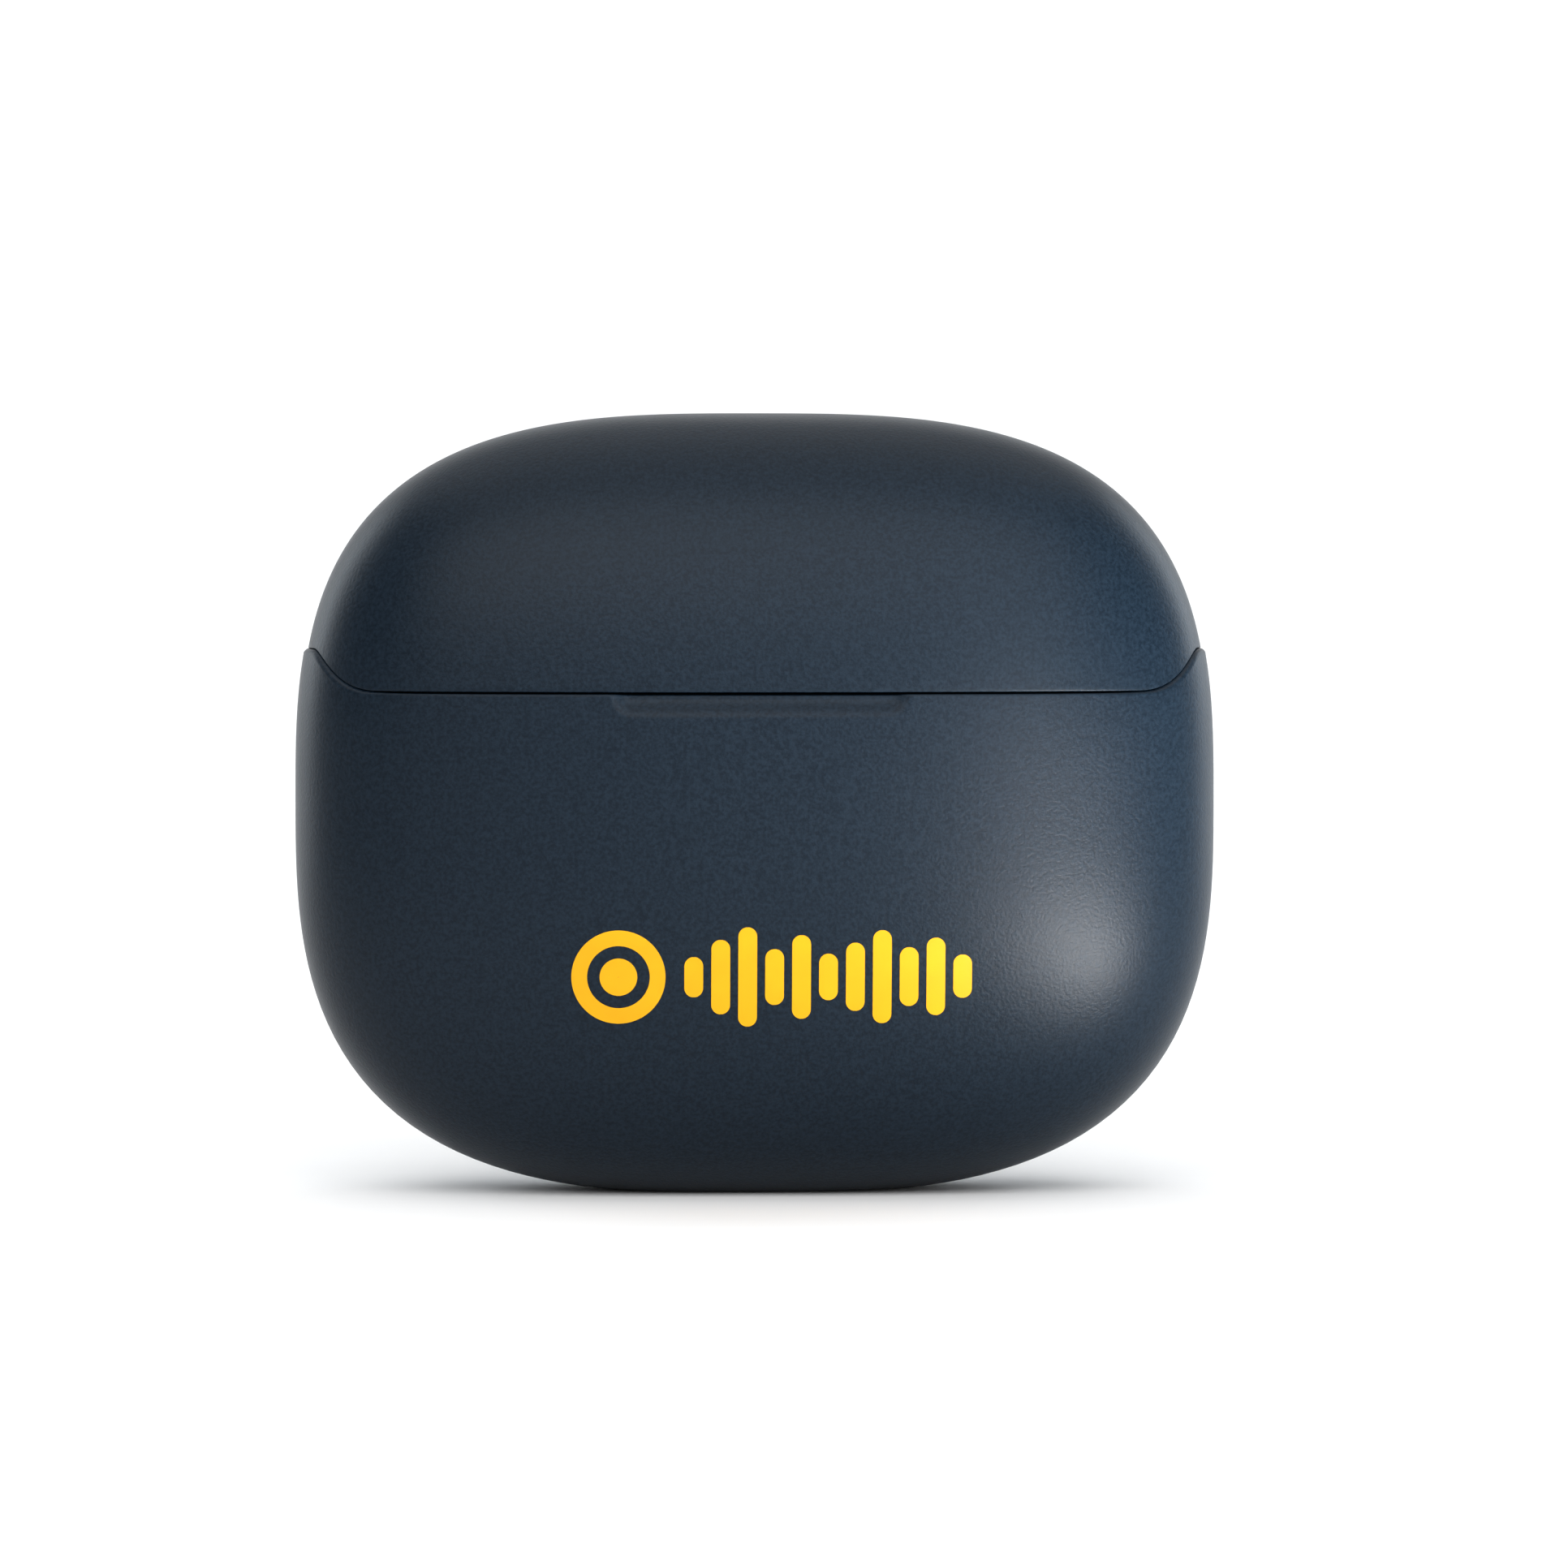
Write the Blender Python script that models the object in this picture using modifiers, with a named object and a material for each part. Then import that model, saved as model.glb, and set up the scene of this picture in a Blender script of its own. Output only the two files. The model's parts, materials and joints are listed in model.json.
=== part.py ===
"""Charging case for a pair of wireless earbuds, modelled in metres with +Z up.

The case stands upright on a small flat: X runs along its width, its front faces -Y, the lid is on top
and the hinge is at the rear. The origin is the middle of the flat that it stands on.
"""

import math

import bmesh
import bpy
from mathutils import Matrix

MM = 0.001

# Outer form: a pebble |x/a|^p + |z/c|^p in front view, rounded in depth by its own power.
WIDTH = 60.0 * MM
HEIGHT = 50.7 * MM
DEPTH = 27.0 * MM
FLAT_RISE = 0.3 * MM  # how much of the pebble's underside is cut off to stand on
LOWER_OUTLINE_POWER = 2.9
UPPER_OUTLINE_POWER = 3.05
DEPTH_POWER = 2.6
CENTRE_Z = (HEIGHT + FLAT_RISE) / 2 - FLAT_RISE
HALF_SIZE = (WIDTH / 2, DEPTH / 2, (HEIGHT + FLAT_RISE) / 2)
LID_INSET = (0.25 * MM, 0.15 * MM, 0.0)  # the lid is this much narrower than the base

WALL = 1.5 * MM
GAP = 0.3 * MM  # between neighbouring pieces
FAR = 60 * MM  # beyond the case on every side

# Parting line, from the front: level, a smooth rise on the sides, level, then an arc about the hinge.
FRONT_SEAM_Z = 32.7 * MM
REAR_SEAM_Z = 35.4 * MM
RISE_START_Y = -9.1 * MM
RISE_END_Y = -3.7 * MM
SEAM_ARC_RADIUS = 3.3 * MM

# Hinge
HINGE_Y = 11.45 * MM
HINGE_Z = REAR_SEAM_Z - SEAM_ARC_RADIUS
ARM_HALF_WIDTH = 9.0 * MM
BARREL_RADIUS = 1.6 * MM
PIN_RADIUS = 0.5 * MM
PIN_BORE_RADIUS = 0.75 * MM
PIN_LENGTH = 23.2 * MM
PIN_BORE_LENGTH = 24.7 * MM
PIN_BORE_SHIFT = 0.45 * MM  # the bore is blind at -X, where the pin stops
HINGE_BOSS_OUTER_X = 12.2 * MM
HINGE_BOSS_SIZE = (2.6 * MM, 3.9 * MM)
HINGE_BOSS_CENTRE = (11.1 * MM, 32.05 * MM)
HINGE_POCKET_Y = 8.9 * MM  # the cradle leaves room for the hinge behind this
HINGE_POCKET_Z = 28.0 * MM
ARM_OPENING = (9.5 * MM, 29.7 * MM)  # where the opening for the arm starts, behind and above
SPRING_ROOM = (3.0 * MM, 1.8 * MM)  # half of its width, and its reach above and below the pin
SPRING_ROOM_REAR_Y = 12.6 * MM
SPRING_TURNS = 7
SPRING_HALF_LENGTH = 2.3 * MM
SPRING_BASE_LEG = (0.1 * MM, -3.2 * MM)
SPRING_LID_LEG_Z = 1.5 * MM
SPRING_WIRE_RADIUS = 0.14 * MM
SPRING_COIL_RADIUS = 0.82 * MM

# Finger notch in the base, under the lid's front edge
NOTCH_WIDTH = 19.2 * MM
NOTCH_HEIGHT = 1.5 * MM
NOTCH_DEPTH = 0.6 * MM
NOTCH_CORNER = 1.4 * MM

# Cradle
DECK_DROP = 0.6 * MM  # the deck lies this far below the parting line
DECK_THICKNESS = 1.3 * MM
WELL_WALL = 1.1 * MM
HEAD_CENTRE = (14.6 * MM, -0.4 * MM, 36.0 * MM)
HEAD_RADII = (8.0 * MM, 7.2 * MM, 9.0 * MM)
TIP_CENTRE = (8.0 * MM, 2.5 * MM, 35.2 * MM)
TIP_RADIUS = 5.2 * MM
STEM_CENTRE = (17.0 * MM, -1.5 * MM)
STEM_RADII = (3.5 * MM, 4.2 * MM)
STEM_FLOOR_Z = 12.6 * MM
FLOOR_THICKNESS = 1.2 * MM

POST_RADIUS = 1.5 * MM

# Pegs under the deck that hold the sensor board
PEG_RADIUS = 0.6 * MM
PEG_LENGTH = 4.2 * MM
PEG_CENTRE = (2.6 * MM, -4.9 * MM, 31.7 * MM)

# Well magnets
WELL_MAGNET_RADIUS = 1.8 * MM
WELL_MAGNET_THICKNESS = 1.2 * MM
WELL_MAGNET_CENTRE = (8.6 * MM, -4.6 * MM, 27.4 * MM)

# Main board
BOARD_Z = 8.0 * MM
BOARD_THICKNESS = 1.0 * MM
BOARD_TOP = BOARD_Z + BOARD_THICKNESS
BOARD_HALF_WIDTH = 19.0 * MM
BOARD_FRONT_Y = -6.6 * MM
BOARD_REAR_Y = 7.6 * MM
BOARD_CORNER = 5.0 * MM
BOARD_SCREW = (17.0 * MM, 2.6 * MM)
BOARD_SCREW_LENGTH = 3.2 * MM
BOARD_POST_Z = (BOARD_TOP + GAP, 12.1 * MM)  # the cradle's posts, which the board is screwed to
SHELL_POST = (8.0 * MM, 0.8 * MM, 7.7 * MM)  # x, lowest and highest z of the posts under the board
SCREW_RADIUS = 0.6 * MM
SCREW_HOLE_RADIUS = 0.9 * MM
SCREW_HEAD_RADIUS = 0.95 * MM
SCREW_HEAD_THICKNESS = 0.6 * MM
SCREW_SLOT = (1.1 * MM, 0.28 * MM, 0.7 * MM)

# USB-C socket, at the rear of the board
USB_SHELL = (8.94 * MM, 7.35 * MM, 3.26 * MM)
USB_SHELL_WALL = 0.3 * MM
USB_REAR_Y = 11.3 * MM
USB_Z = BOARD_TOP + GAP + USB_SHELL[2] / 2
USB_CORNER = 1.2 * MM
USB_OPENING = (9.6 * MM, 3.9 * MM)
USB_TONGUE = (6.7 * MM, 5.9 * MM, 0.7 * MM)
USB_TONGUE_FRONT_Y = 4.1 * MM
USB_TONGUE_ROOT = (7.2 * MM, 1.5 * MM, 1.8 * MM)

# Battery, between the wells
CELL_SIZE = (21.0 * MM, 11.0 * MM, 13.5 * MM)
CELL_CENTRE = (0.0, -0.5 * MM, 19.75 * MM)
PROTECTION_BOARD_SIZE = (16.0 * MM, 0.6 * MM, 3.4 * MM)
PROTECTION_BOARD_RISE = 4.0 * MM  # above the middle of the cell
FOAM_SIZE = (12.0 * MM, 7.0 * MM, 1.2 * MM)
LEAD_RADIUS = 0.3 * MM
LEAD_SPACING = 1.2 * MM
CONNECTOR_SIZE = (3.6 * MM, 2.6 * MM, 1.5 * MM)
CONNECTOR_CENTRE = (7.2 * MM, -4.9 * MM, BOARD_TOP + GAP + CONNECTOR_SIZE[2] / 2)

# Sprung charging contacts, two in each well's floor
PIN_PITCH = 2.6 * MM
PIN_TIP_RADIUS = 0.45 * MM
PIN_COLLAR_RADIUS = 0.7 * MM
PIN_PROUD = 0.7 * MM
PIN_COLLAR_Z = (10.55 * MM, 11.05 * MM)
PIN_WELL_RADIUS = 1.0 * MM
PIN_HOLE_RADIUS = 0.75 * MM
CONTACT_BLOCK_SIZE = (5.6 * MM, 4.0 * MM)
CONTACT_BLOCK_Z = (BOARD_TOP + GAP, 11.1 * MM)
CONTACT_SPRING_Z = (9.3 * MM, 10.4 * MM)
CONTACT_SPRING_RADIUS = 0.55 * MM
CONTACT_SPRING_WIRE = 0.1 * MM

# Latch: magnets in the lid's rim above magnets in the cradle
MAGNET_SIZE = (5.0 * MM, 1.2 * MM, 2.6 * MM)
MAGNET_X = 7.5 * MM
MAGNET_Y = -9.9 * MM
LID_MAGNET_Z = 36.0 * MM
BASE_MAGNET_Z = 28.9 * MM
POCKET_WALL = 0.6 * MM
POCKET_ROOF = 1.0 * MM  # of material above each magnet in the cradle
TRIGGER_MAGNET_SIZE = (3.0 * MM, 1.2 * MM, 2.2 * MM)

# Lid liner
LINER_INSETS = (3.6 * MM, 4.8 * MM, 2.6 * MM)
LINER_WALL = 1.0 * MM
LINER_RIM_LIFT = 0.5 * MM  # above the parting line
LINER_BACK_Y = 8.3 * MM  # the liner's rim is open behind this, for the hinge arm

# Lid screws
LID_SCREW_X = 5.5 * MM
LID_SCREW_Z = 37.5 * MM
LID_SCREW_LENGTH = 2.1 * MM
LID_BOSS_Y = (10.5 * MM, 11.7 * MM)
LID_BOSS_HOLE_RADIUS = 0.8 * MM
ARM_HOLE_RADIUS = 0.85 * MM
ARM_PLATE_Y = (9.3 * MM, 10.2 * MM)
ARM_PLATE_TOP = 38.8 * MM

# Sensor board, under the deck at the front
SENSOR_BOARD_SIZE = (7.0 * MM, 5.0 * MM, 0.6 * MM)
SENSOR_BOARD_CENTRE = (0.0, -6.5 * MM, 28.9 * MM)
SENSOR_BOARD_TOP = SENSOR_BOARD_CENTRE[2] + SENSOR_BOARD_SIZE[2] / 2
HALL_SENSOR_SIZE = (1.4 * MM, 1.0 * MM, 0.7 * MM)
LED_SIZE = (1.6 * MM, 1.0 * MM, 0.5 * MM)
LIGHT_Y = -6.2 * MM
LIGHT_GUIDE_Z = 30.3 * MM
LIGHT_GUIDE_HEIGHT = 5.5 * MM  # before its top is cut level with the deck
LIGHT_GUIDE_RADIUS = 1.1 * MM
LIGHT_GUIDE_FLANGE = (1.8 * MM, 0.45 * MM)
LIGHT_HOLE_RADIUS = 1.4 * MM
CABLE_WIDTH = 3.0 * MM
CABLE_THICKNESS = 0.25 * MM

SIDES = {"left": -1, "right": 1}
X_AXIS_UP = (math.pi / 2, 0, math.pi / 2)  # turns a flat (y, z) outline to face along X
Y_AXIS_UP = (math.pi / 2, 0, 0)  # turns a flat (x, z) outline to face along Y

FINISHES = {
    "soft_touch": ((0.021, 0.033, 0.054), 0.5, 0.0),
    "inner_plastic": ((0.016, 0.023, 0.036), 0.35, 0.0),
    "black_plastic": ((0.01, 0.01, 0.011), 0.45, 0.0),
    "steel": ((0.56, 0.56, 0.55), 0.3, 1.0),
    "gold": ((0.83, 0.6, 0.22), 0.25, 1.0),
    "magnet": ((0.5, 0.5, 0.49), 0.35, 1.0),
    "board": ((0.01, 0.09, 0.04), 0.5, 0.0),
    "chip": ((0.012, 0.012, 0.013), 0.4, 0.0),
    "cell_wrap": ((0.35, 0.37, 0.4), 0.35, 0.4),
    "foam": ((0.03, 0.03, 0.032), 0.95, 0.0),
    "red_lead": ((0.5, 0.015, 0.012), 0.45, 0.0),
    "black_lead": ((0.012, 0.012, 0.012), 0.45, 0.0),
    "light_guide": ((0.8, 0.82, 0.82), 0.3, 0.0),
    "flat_cable": ((0.45, 0.2, 0.03), 0.4, 0.0),
}


# ---------------------------------------------------------------- scene, materials and Booleans


def clear_scene():
    for obj in list(bpy.data.objects):
        bpy.data.objects.remove(obj)


def collection(name):
    made = bpy.data.collections.new(name)
    bpy.context.scene.collection.children.link(made)
    return made


def move_to(obj, target):
    for holder in list(obj.users_collection):
        holder.objects.unlink(obj)
    target.objects.link(obj)


def material(finish):
    if finish in bpy.data.materials:
        return bpy.data.materials[finish]
    colour, roughness, metallic = FINISHES[finish]
    made = bpy.data.materials.new(finish)
    made.use_nodes = True
    shader = made.node_tree.nodes["Principled BSDF"]
    shader.inputs["Base Color"].default_value = (*colour, 1)
    shader.inputs["Roughness"].default_value = roughness
    shader.inputs["Metallic"].default_value = metallic
    return made


def piece(obj, name, finish):
    """Makes this object one of the case's pieces."""
    obj.name = name
    obj.data.name = name
    obj.data.materials.clear()
    obj.data.materials.append(material(finish))
    obj.data.shade_smooth()
    obj.data.set_sharp_from_angle(angle=math.radians(40))
    move_to(obj, CASE)
    return obj


def helper(obj):
    """Makes this object a tool for Booleans."""
    move_to(obj, CUTTERS)
    obj.hide_render = True
    obj.display_type = "WIRE"
    return obj


def boolean(target, tool, operation):
    if tool.name not in CUTTERS.objects:
        helper(tool)
    modifier = target.modifiers.new(operation.lower(), "BOOLEAN")
    modifier.operation = operation
    modifier.object = tool


def cut(target, *tools):
    for tool in tools:
        boolean(target, tool, "DIFFERENCE")


def join(target, *tools):
    for tool in tools:
        boolean(target, tool, "UNION")


def keep(target, tool):
    boolean(target, tool, "INTERSECT")


# ---------------------------------------------------------------- basic shapes


def block(size, centre, bevel=0.0):
    bpy.ops.mesh.primitive_cube_add(size=1, location=centre)
    obj = bpy.context.object
    obj.data.transform(Matrix.Diagonal((*size, 1)))
    if bevel:
        edges = obj.modifiers.new("edges", "BEVEL")
        edges.width = bevel
        edges.segments = 1
    return obj


def span(low, high, bevel=0.0):
    """A block between two opposite corners."""
    size = [b - a for a, b in zip(low, high)]
    centre = [(a + b) / 2 for a, b in zip(low, high)]
    return block(size, centre, bevel)


def rod(radius, length, centre, axis="Z", sides=20):
    turn = {"X": (0, math.pi / 2, 0), "Y": (math.pi / 2, 0, 0), "Z": (0, 0, 0)}[axis]
    bpy.ops.mesh.primitive_cylinder_add(
        vertices=sides, radius=radius, depth=length, location=centre, rotation=turn
    )
    return bpy.context.object


def as_mesh(curve_obj):
    """The mesh object that this curve object evaluates to, with its caps joined on."""
    bpy.context.view_layer.update()
    graph = bpy.context.evaluated_depsgraph_get()
    mesh = bpy.data.meshes.new_from_object(curve_obj.evaluated_get(graph))
    obj = bpy.data.objects.new(curve_obj.name, mesh)
    obj.matrix_world = curve_obj.matrix_world
    bpy.context.scene.collection.objects.link(obj)
    bpy.data.objects.remove(curve_obj)
    shape = bmesh.new()
    shape.from_mesh(mesh)
    bmesh.ops.remove_doubles(shape, verts=shape.verts, dist=0.001 * MM)
    bmesh.ops.recalc_face_normals(shape, faces=shape.faces)
    shape.to_mesh(mesh)
    shape.free()
    return obj


def prism(outline, length, centre=(0, 0, 0), turn=(0, 0, 0)):
    """A flat outline made thick: (x, y) along Z, or turned to face along X or Y."""
    curve = bpy.data.curves.new("outline", "CURVE")
    curve.dimensions = "2D"
    curve.fill_mode = "BOTH"
    curve.extrude = length / 2
    spline = curve.splines.new("POLY")
    spline.points.add(len(outline) - 1)
    for point, (u, v) in zip(spline.points, outline):
        point.co = (u, v, 0, 1)
    spline.use_cyclic_u = True
    obj = bpy.data.objects.new("outline", curve)
    bpy.context.scene.collection.objects.link(obj)
    obj.location = centre
    obj.rotation_euler = turn
    return as_mesh(obj)


def tube(route, radius, bevel_resolution=2):
    curve = bpy.data.curves.new("route", "CURVE")
    curve.dimensions = "3D"
    curve.bevel_depth = radius
    curve.bevel_resolution = bevel_resolution
    curve.use_fill_caps = True
    spline = curve.splines.new("POLY")
    spline.points.add(len(route) - 1)
    for point, place in zip(spline.points, route):
        point.co = (*place, 1)
    obj = bpy.data.objects.new("route", curve)
    bpy.context.scene.collection.objects.link(obj)
    return as_mesh(obj)


def turned(profile, centre, steps=16):
    """A solid of revolution about Z: the profile's (radius, z) points run from the top to the bottom."""
    mesh = bpy.data.meshes.new("profile")
    edges = [(i, i + 1) for i in range(len(profile) - 1)]
    mesh.from_pydata([(radius, 0, z) for radius, z in profile], edges, [])
    obj = bpy.data.objects.new("turned", mesh)
    bpy.context.scene.collection.objects.link(obj)
    obj.location = centre
    screw = obj.modifiers.new("turn", "SCREW")
    screw.steps = steps
    screw.render_steps = steps
    screw.use_merge_vertices = True
    screw.merge_threshold = 0.00001
    return obj


def arc(centre, radius, start, end, steps):
    """Points along an arc, with its angles in degrees."""
    angles = [math.radians(start + (end - start) * step / steps) for step in range(steps + 1)]
    return [(centre[0] + radius * math.cos(a), centre[1] + radius * math.sin(a)) for a in angles]


def rounded_rectangle(width, height, radius, steps=4):
    corners = ((1, 1, 0), (-1, 1, 90), (-1, -1, 180), (1, -1, 270))
    points = []
    for x_side, y_side, start in corners:
        centre = (x_side * (width / 2 - radius), y_side * (height / 2 - radius))
        points += arc(centre, radius, start, start + 90, steps)
    return points


# ---------------------------------------------------------------- the pebble and the parting line


def pebble(insets=(0, 0, 0), cells=(18, 8, 14)):
    """The outer form made smaller by these insets: a gridded box drawn onto the rounded surface."""
    half = [size - inset for size, inset in zip(HALF_SIZE, insets)]
    mesh = bpy.data.meshes.new("pebble")
    shape = bmesh.new()
    bmesh.ops.create_cube(shape, size=2)
    for axis, count in enumerate(cells):
        along = [
            edge for edge in shape.edges if abs(edge.verts[0].co[axis] - edge.verts[1].co[axis]) > 1
        ]
        bmesh.ops.subdivide_edges(shape, edges=along, cuts=count - 1, use_grid_fill=True)
    for vertex in shape.verts:
        x, y, z = vertex.co
        power = UPPER_OUTLINE_POWER if z > 0 else LOWER_OUTLINE_POWER
        outline = (abs(x) ** power + abs(z) ** power) ** (1 / power)
        reach = (outline**DEPTH_POWER + abs(y) ** DEPTH_POWER) ** (1 / DEPTH_POWER)
        vertex.co = [value * size / reach for value, size in zip((x, y, z), half)]
    shape.to_mesh(mesh)
    shape.free()
    obj = bpy.data.objects.new("pebble", mesh)
    bpy.context.scene.collection.objects.link(obj)
    obj.location = (0, 0, CENTRE_Z)
    return obj


def even(inset):
    return (inset, inset, inset)


def seam_line(lift, rise_steps=8):
    """(y, z) points of the parting line from the front to above the hinge, lifted by this much."""
    points = [(-FAR, FRONT_SEAM_Z + lift)]
    for step in range(rise_steps + 1):
        t = step / rise_steps
        smooth = t * t * (3 - 2 * t)
        y = RISE_START_Y + (RISE_END_Y - RISE_START_Y) * t
        points.append((y, FRONT_SEAM_Z + (REAR_SEAM_Z - FRONT_SEAM_Z) * smooth + lift))
    return points


def seam_arc(lift, start=90):
    return arc((HINGE_Y, HINGE_Z), SEAM_ARC_RADIUS + lift, start, 25, 6)


def above_seam(lift):
    line = seam_line(lift) + seam_arc(lift)
    return prism([*line, (FAR, line[-1][1]), (FAR, FAR), (-FAR, FAR)], 2 * FAR, turn=X_AXIS_UP)


def below_seam(lift):
    line = seam_line(lift) + seam_arc(lift)
    return prism([*line, (FAR, line[-1][1]), (FAR, -FAR), (-FAR, -FAR)], 2 * FAR, turn=X_AXIS_UP)


def between_seams(low, high):
    """A slab that follows the parting line, running level to the rear."""
    under = [*seam_line(low), (FAR, REAR_SEAM_Z + low)]
    over = [*seam_line(high), (FAR, REAR_SEAM_Z + high)]
    return prism(under + over[::-1], 2 * FAR, turn=X_AXIS_UP)


# ---------------------------------------------------------------- base


def finger_notch():
    """What the notch takes from the lower shell: an even bite under the lid's front edge."""
    half = NOTCH_WIDTH / 2
    bottom = FRONT_SEAM_Z - NOTCH_HEIGHT
    outline = [
        *arc((NOTCH_CORNER - half, bottom + NOTCH_CORNER), NOTCH_CORNER, 180, 270, 4),
        *arc((half - NOTCH_CORNER, bottom + NOTCH_CORNER), NOTCH_CORNER, 270, 360, 4),
        (half, FRONT_SEAM_Z + 2 * MM),
        (-half, FRONT_SEAM_Z + 2 * MM),
    ]
    bite = prism(outline, DEPTH / 2, centre=(0, -DEPTH * 0.6, 0), turn=Y_AXIS_UP)
    cut(bite, pebble(even(NOTCH_DEPTH)))
    return bite


def lower_shell():
    shell = pebble()
    keep(shell, below_seam(-GAP / 2))
    cut(shell, pebble(even(WALL), cells=(14, 6, 10)))
    for side in SIDES.values():
        middle = side * (ARM_HALF_WIDTH + GAP + HINGE_BOSS_OUTER_X) / 2
        width = HINGE_BOSS_OUTER_X - ARM_HALF_WIDTH - GAP
        join(shell, block((width, *HINGE_BOSS_SIZE), (middle, *HINGE_BOSS_CENTRE)))
        post_x, low, high = SHELL_POST
        join(shell, rod(POST_RADIUS, high - low, (side * post_x, 0, (low + high) / 2)))
    cut(
        shell,
        span((-ARM_HALF_WIDTH - GAP, *ARM_OPENING), (ARM_HALF_WIDTH + GAP, FAR, FAR)),
        rod(PIN_BORE_RADIUS, PIN_BORE_LENGTH, (PIN_BORE_SHIFT, HINGE_Y, HINGE_Z), "X", 16),
        prism(
            rounded_rectangle(*USB_OPENING, USB_OPENING[1] / 2 * 0.99),
            DEPTH / 3,
            centre=(0, DEPTH / 2, USB_Z),
            turn=Y_AXIS_UP,
        ),
        finger_notch(),
        span((-FAR, -FAR, -FAR), (FAR, FAR, 0)),
    )
    piece(shell, "lower_shell", "soft_touch")


def well_form(side, grow):
    """The space that an earbud sits in, grown by this much: its head, its ear tip and its stem."""
    bpy.ops.mesh.primitive_uv_sphere_add(segments=18, ring_count=10, radius=1)
    head = bpy.context.object
    head.data.transform(Matrix.Diagonal((*[radius + grow for radius in HEAD_RADII], 1)))
    head.location = (side * HEAD_CENTRE[0], HEAD_CENTRE[1], HEAD_CENTRE[2])
    bpy.ops.mesh.primitive_uv_sphere_add(segments=14, ring_count=8, radius=TIP_RADIUS + grow)
    tip = bpy.context.object
    tip.location = (side * TIP_CENTRE[0], TIP_CENTRE[1], TIP_CENTRE[2])
    floor = STEM_FLOOR_Z - (FLOOR_THICKNESS if grow else 0)
    stem = rod(1, HEAD_CENTRE[2] - floor, (0, 0, 0), "Z", 20)
    stem.data.transform(Matrix.Diagonal((STEM_RADII[0] + grow, STEM_RADII[1] + grow, 1, 1)))
    stem.location = (side * STEM_CENTRE[0], STEM_CENTRE[1], (HEAD_CENTRE[2] + floor) / 2)
    join(head, tip, stem)
    return head


def magnet_pocket(x, y, z):
    """A pocket that holds a latch magnet from below, as its outer block and the space to cut from it."""
    width, depth, height = (size + 2 * GAP for size in MAGNET_SIZE)
    low, high = z - height / 2, z + height / 2
    half_width, half_depth = width / 2 + POCKET_WALL, depth / 2 + POCKET_WALL
    outer = span((x - half_width, y - half_depth, low), (x + half_width, y + half_depth, high + POCKET_ROOF))
    space = span((x - width / 2, y - depth / 2, 0), (x + width / 2, y + depth / 2, high))
    return outer, space


def contact_places(side):
    """The (name, x, y) of the two sprung contacts of one well."""
    for place, shift in (("inner", -PIN_PITCH / 2), ("outer", PIN_PITCH / 2)):
        yield place, side * (STEM_CENTRE[0] + shift), STEM_CENTRE[1]


def cradle():
    """The moulded tray: a deck that follows the parting line, with a well for each earbud."""
    tray = between_seams(-DECK_DROP - DECK_THICKNESS, -DECK_DROP)
    spaces = []
    for side in SIDES.values():
        join(tray, well_form(side, WELL_WALL))
        spaces.append(well_form(side, 0))
        post_x, post_y = side * BOARD_SCREW[0], BOARD_SCREW[1]
        low, high = BOARD_POST_Z
        join(tray, rod(POST_RADIUS, high - low, (post_x, post_y, (low + high) / 2)))
        spaces.append(rod(SCREW_HOLE_RADIUS, 3 * MM, (post_x, post_y, BOARD_TOP + 1.5 * MM), "Z", 12))
        outer, space = magnet_pocket(side * MAGNET_X, MAGNET_Y, BASE_MAGNET_Z)
        join(tray, outer)
        spaces.append(space)
        for _, x, y in contact_places(side):
            spaces.append(rod(PIN_HOLE_RADIUS, 3 * MM, (x, y, STEM_FLOOR_Z), "Z", 12))
        peg_x, peg_y, peg_z = PEG_CENTRE
        join(tray, rod(PEG_RADIUS, PEG_LENGTH, (side * peg_x, peg_y, peg_z), "Z", 12))
    keep(tray, pebble(even(WALL + GAP), cells=(14, 6, 10)))
    pocket_half_width = HINGE_BOSS_OUTER_X + 0.4 * MM
    cut(
        tray,
        between_seams(-DECK_DROP, HEIGHT / 2),
        *spaces,
        rod(LIGHT_HOLE_RADIUS, 8 * MM, (0, LIGHT_Y, FRONT_SEAM_Z), "Z", 16),
        span((-pocket_half_width, HINGE_POCKET_Y, HINGE_POCKET_Z), (pocket_half_width, FAR, FAR)),
    )
    piece(tray, "cradle", "inner_plastic")


def well_magnets():
    for name, side in SIDES.items():
        x, y, z = WELL_MAGNET_CENTRE
        disc = rod(WELL_MAGNET_RADIUS, WELL_MAGNET_THICKNESS, (side * x, y, z), "Z", 16)
        piece(disc, f"well_magnet_{name}", "magnet")


def latch_magnets():
    for name, side in SIDES.items():
        for body, z in (("base", BASE_MAGNET_Z), ("lid", LID_MAGNET_Z)):
            magnet = block(MAGNET_SIZE, (side * MAGNET_X, MAGNET_Y, z), bevel=0.15 * MM)
            piece(magnet, f"latch_magnet_{body}_{name}", "magnet")


# ---------------------------------------------------------------- board, socket and battery


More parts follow.
